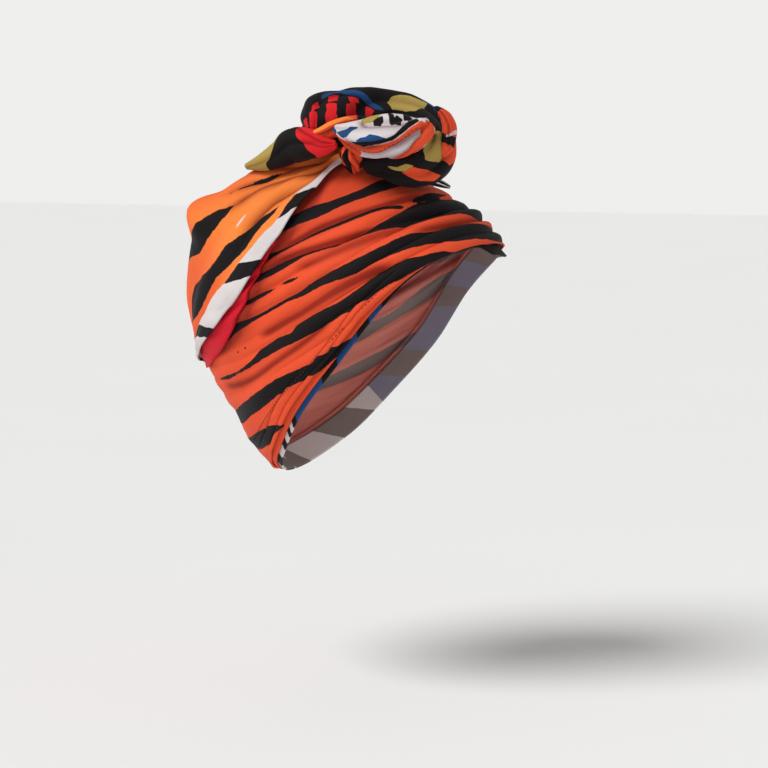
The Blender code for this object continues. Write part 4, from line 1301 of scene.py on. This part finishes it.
def roll_points(name, along, around, path, radii):
    """A gathered roll's surface and the shade painted in its pleats and creases."""
    roll = ROLLS[name]
    first, second = frame_along(path)
    part = roll["pleats"] * (around / (2 * math.pi) + roll["twist"] * along) % 1
    crest = np.sin(math.pi * part ** PLEAT_LEAN)
    finer = np.abs(np.sin(2 * math.pi * part + PLEAT_SWAY * np.sin(along * PLEAT_SWAYS)))
    depth = roll.get("pleat_depth", PLEAT_DEPTH)
    radius = radii[:, None] * (1 - depth + depth * crest ** PLEAT_FLAT - PLEAT_FINE * (1 - finer))
    # Painted shade between the pleats, and below it in the creases
    hollow = PLEAT_PAINTED_SHADE * np.clip(PLEAT_LOW - crest, 0, 1)
    x, y = along * 100, around_percent(around)
    girth = 2 * math.pi * radii.max() / MM / 100
    for crease in ROLL_CREASES.get(name, ()):
        away = (y - read_line(x, crease["line"])) * girth
        fade = fade_along(x, crease["line"], *ROLL_CREASE_ENDS)
        step, dark = crease_shape(away * crease["side"])
        radius = radius - crease["depth"] * MM * step * fade * (radii / radii.max())[:, None]
        hollow = np.maximum(hollow, dark * fade)
    points = (
        path[:, None, :]
        + (radius * np.cos(around))[..., None] * first[:, None, :]
        + (radius * roll["deep"] * np.sin(around))[..., None] * second[:, None, :]
    )
    return points, hollow


class HEADWRAP_OT_knot(Operator):
    """Ties the knot from its gathered rolls"""

    bl_idname = "headwrap.knot"
    bl_label = "Knot"

    def execute(self, context):
        for node, roll in ROLLS.items():
            if node == "knot_coil":
                path, radii = coil_path(COIL_STATIONS)
            else:
                path, radii = roll_path(roll["path"], ROLL_STATIONS)
            around, along = np.meshgrid(
                np.linspace(0, 2 * math.pi, ROLL_SIDES, endpoint=False), np.linspace(0, 1, len(path))
            )
            points, hollow = roll_points(node, along, around, path, radii)
            swell = wander(points.reshape(-1, 3), ROLL_SWELL_SIZE, SWELL_SEED).reshape(hollow.shape)
            points = points + (points - path[:, None, :]) * (ROLL_SWELL * swell)[..., None]
            points[0], points[-1] = path[0], path[-1]
            fields, inks = self.patches(node, along, around, path, radii)
            # Painted shade in the roll's pleats and creases
            fields["hollow"] = hollow
            mesh = grid_mesh(node + "_cloth", points, fields, True)
            material = jersey(node + "_print", roll["ground"], inks, context)
            show(node + "_cloth", mesh, material, node, context)
            if node == "knot_lobe":
                self.lobe_stitches(points, context)
        return {"FINISHED"}

    def patches(self, node, along, around, path, radii):
        """Distances inside a roll's patches of the print, and the inks to paint them with."""
        reach = np.linalg.norm(np.diff(path, axis=0), axis=1).sum() / MM
        girth = 2 * math.pi * radii.max() / MM
        x, y = along * reach, around_percent(around) / 100 * girth
        fields, inks = {}, []
        for ink, outline in PATCHES[node]:
            corners = tuple((a * reach / 100, b * girth / 100) for a, b in outline)
            inside = outline_field(corners, x, y)
            if inks and inks[-1][1] == ink:
                field = inks[-1][0]
                fields[field] = np.maximum(fields[field], inside)
            else:
                field = f"ink_{len(inks)}"
                inks.append((field, ink))
                fields[field] = inside
        return fields, inks

    def lobe_stitches(self, points, context):
        """The hem's stitches along the lobe's turned edge."""
        along = np.linspace(LOBE_STITCHES[0][0], LOBE_STITCHES[-1][0], LOBE_HEM_POINTS)
        around = read_line(along, LOBE_STITCHES)
        station = np.clip(along / 100 * (len(points) - 1), 0, len(points) - 2)
        side = around / 100 * points.shape[1]
        i, j = station.astype(int), side.astype(int)
        s, t = (station - i)[:, None], (side - j)[:, None]
        row = (
            (1 - s) * ((1 - t) * points[i, j] + t * points[i, j + 1])
            + s * ((1 - t) * points[i + 1, j] + t * points[i + 1, j + 1])
        )
        stitch_rows("lobe_stitches", "knot_lobe", [row], context)


class HEADWRAP_OT_stage(Operator):
    """Sets the camera, the floor and the lights"""

    bl_idname = "headwrap.stage"
    bl_label = "Stage"

    def execute(self, context):
        stage = context.scene.headwrap_stage
        middle = Vector(Wrap(context.scene.headwrap_sizes).middle)
        az, el = stage.azimuth, stage.elevation
        back = Vector((math.sin(az) * math.cos(el), -math.cos(az) * math.cos(el), math.sin(el)))
        right = Vector((math.cos(az), math.sin(az), 0))
        up = back.cross(right)
        data = bpy.data.cameras.new("camera")
        data.sensor_width = SENSOR
        data.lens = SENSOR * stage.distance / (PIXELS * stage.pixel)
        camera = put("camera", data, context)
        place = middle + back * stage.distance - right * stage.pixel - up * (VIEW_DROP * stage.pixel)
        turn = Matrix((right, up, back)).transposed().to_4x4()
        camera.matrix_world = Matrix.Translation(place) @ turn
        context.scene.camera = camera
        self.floor(context, stage)
        key, fill = (back * b + right * r + up * u for b, r, u in (KEY_FROM, FILL_FROM))
        self.sun(context, key, stage.key)
        self.lamp(context, middle, fill, stage.fill)
        self.sky(context, stage)
        context.scene.view_settings.view_transform = "Standard"
        return {"FINISHED"}

    def sky(self, context, stage):
        """Even pale surroundings that brighten towards the horizon."""
        world = bpy.data.worlds.new("studio")
        world.use_nodes = True
        tree = world.node_tree
        ground = tree.nodes["Background"]
        ground.inputs["Color"].default_value = SKY_WHITE
        coords = tree.nodes.new("ShaderNodeTexCoord")
        split = tree.nodes.new("ShaderNodeSeparateXYZ")
        rise = tree.nodes.new("ShaderNodeMapRange")
        rise.interpolation_type = "SMOOTHSTEP"
        names = ("From Min", "From Max", "To Min", "To Max")
        for name, value in zip(names, (*SKY_RISE, stage.horizon, stage.sky)):
            rise.inputs[name].default_value = value
        tree.links.new(coords.outputs["Generated"], split.inputs[0])
        tree.links.new(split.outputs["Z"], rise.inputs["Value"])
        tree.links.new(rise.outputs["Result"], ground.inputs["Strength"])
        context.scene.world = world

    def sun(self, context, towards, strength):
        """The main light, broad enough for soft shadows."""
        data = bpy.data.lights.new("key", "SUN")
        data.angle = KEY_BREADTH
        data.energy = strength
        put("key", data, context).rotation_euler = towards.to_track_quat("Z", "Y").to_euler()

    def lamp(self, context, middle, offset, power):
        """The second light, a soft disc on the other side."""
        data = bpy.data.lights.new("fill", "AREA")
        data.shape = "DISK"
        data.size = FILL_BREADTH
        data.energy = power
        lamp = put("fill", data, context)
        lamp.location = middle + offset
        lamp.rotation_euler = offset.to_track_quat("Z", "Y").to_euler()

    def floor(self, context, stage):
        """A plain pale floor below the wrap."""
        bpy.ops.mesh.primitive_plane_add(size=FLOOR_BREADTH, location=(0, 0, -stage.floor_drop))
        floor = context.active_object
        floor.name = "floor"
        build = Nodes("floor_paint")
        coords = build.add("ShaderNodeTexCoord").outputs["Object"]
        tone = build.noise(coords, 3.0, 3.0)
        paint = build.mix(tone, *FLOOR_GREYS)
        build.link(paint, build.shader.inputs["Base Color"])
        build.shader.inputs["Roughness"].default_value = 0.85
        floor.data.materials.append(build.material)


class HEADWRAP_PT_panel(Panel):
    """Buttons and settings for the headwrap"""

    bl_label = "Headwrap"
    bl_idname = "HEADWRAP_PT_panel"
    bl_space_type = "VIEW_3D"
    bl_region_type = "UI"
    bl_category = "Headwrap"

    def draw(self, context):
        layout = self.layout
        for group, name in GROUPS:
            box = layout.box()
            for setting in group.__annotations__:
                box.prop(getattr(context.scene, name), setting)
        for operator in OPERATORS:
            layout.operator(operator.bl_idname)


GROUPS = (
    (HeadwrapSizes, "headwrap_sizes"),
    (HeadwrapColours, "headwrap_colours"),
    (HeadwrapStage, "headwrap_stage"),
)
OPERATORS = (
    HEADWRAP_OT_band,
    HEADWRAP_OT_rim,
    HEADWRAP_OT_drape,
    HEADWRAP_OT_knot,
    HEADWRAP_OT_stage,
)


def register():
    for group, name in GROUPS:
        bpy.utils.register_class(group)
        setattr(bpy.types.Scene, name, PointerProperty(type=group))
    for operator in OPERATORS:
        bpy.utils.register_class(operator)
    bpy.utils.register_class(HEADWRAP_PT_panel)


def unregister():
    bpy.utils.unregister_class(HEADWRAP_PT_panel)
    for operator in reversed(OPERATORS):
        bpy.utils.unregister_class(operator)
    for group, name in reversed(GROUPS):
        delattr(bpy.types.Scene, name)
        bpy.utils.unregister_class(group)


def main():
    register()
    bpy.ops.headwrap.band()
    bpy.ops.headwrap.rim()
    bpy.ops.headwrap.drape()
    bpy.ops.headwrap.knot()
    bpy.ops.headwrap.stage()


if __name__ == "__main__":
    main()
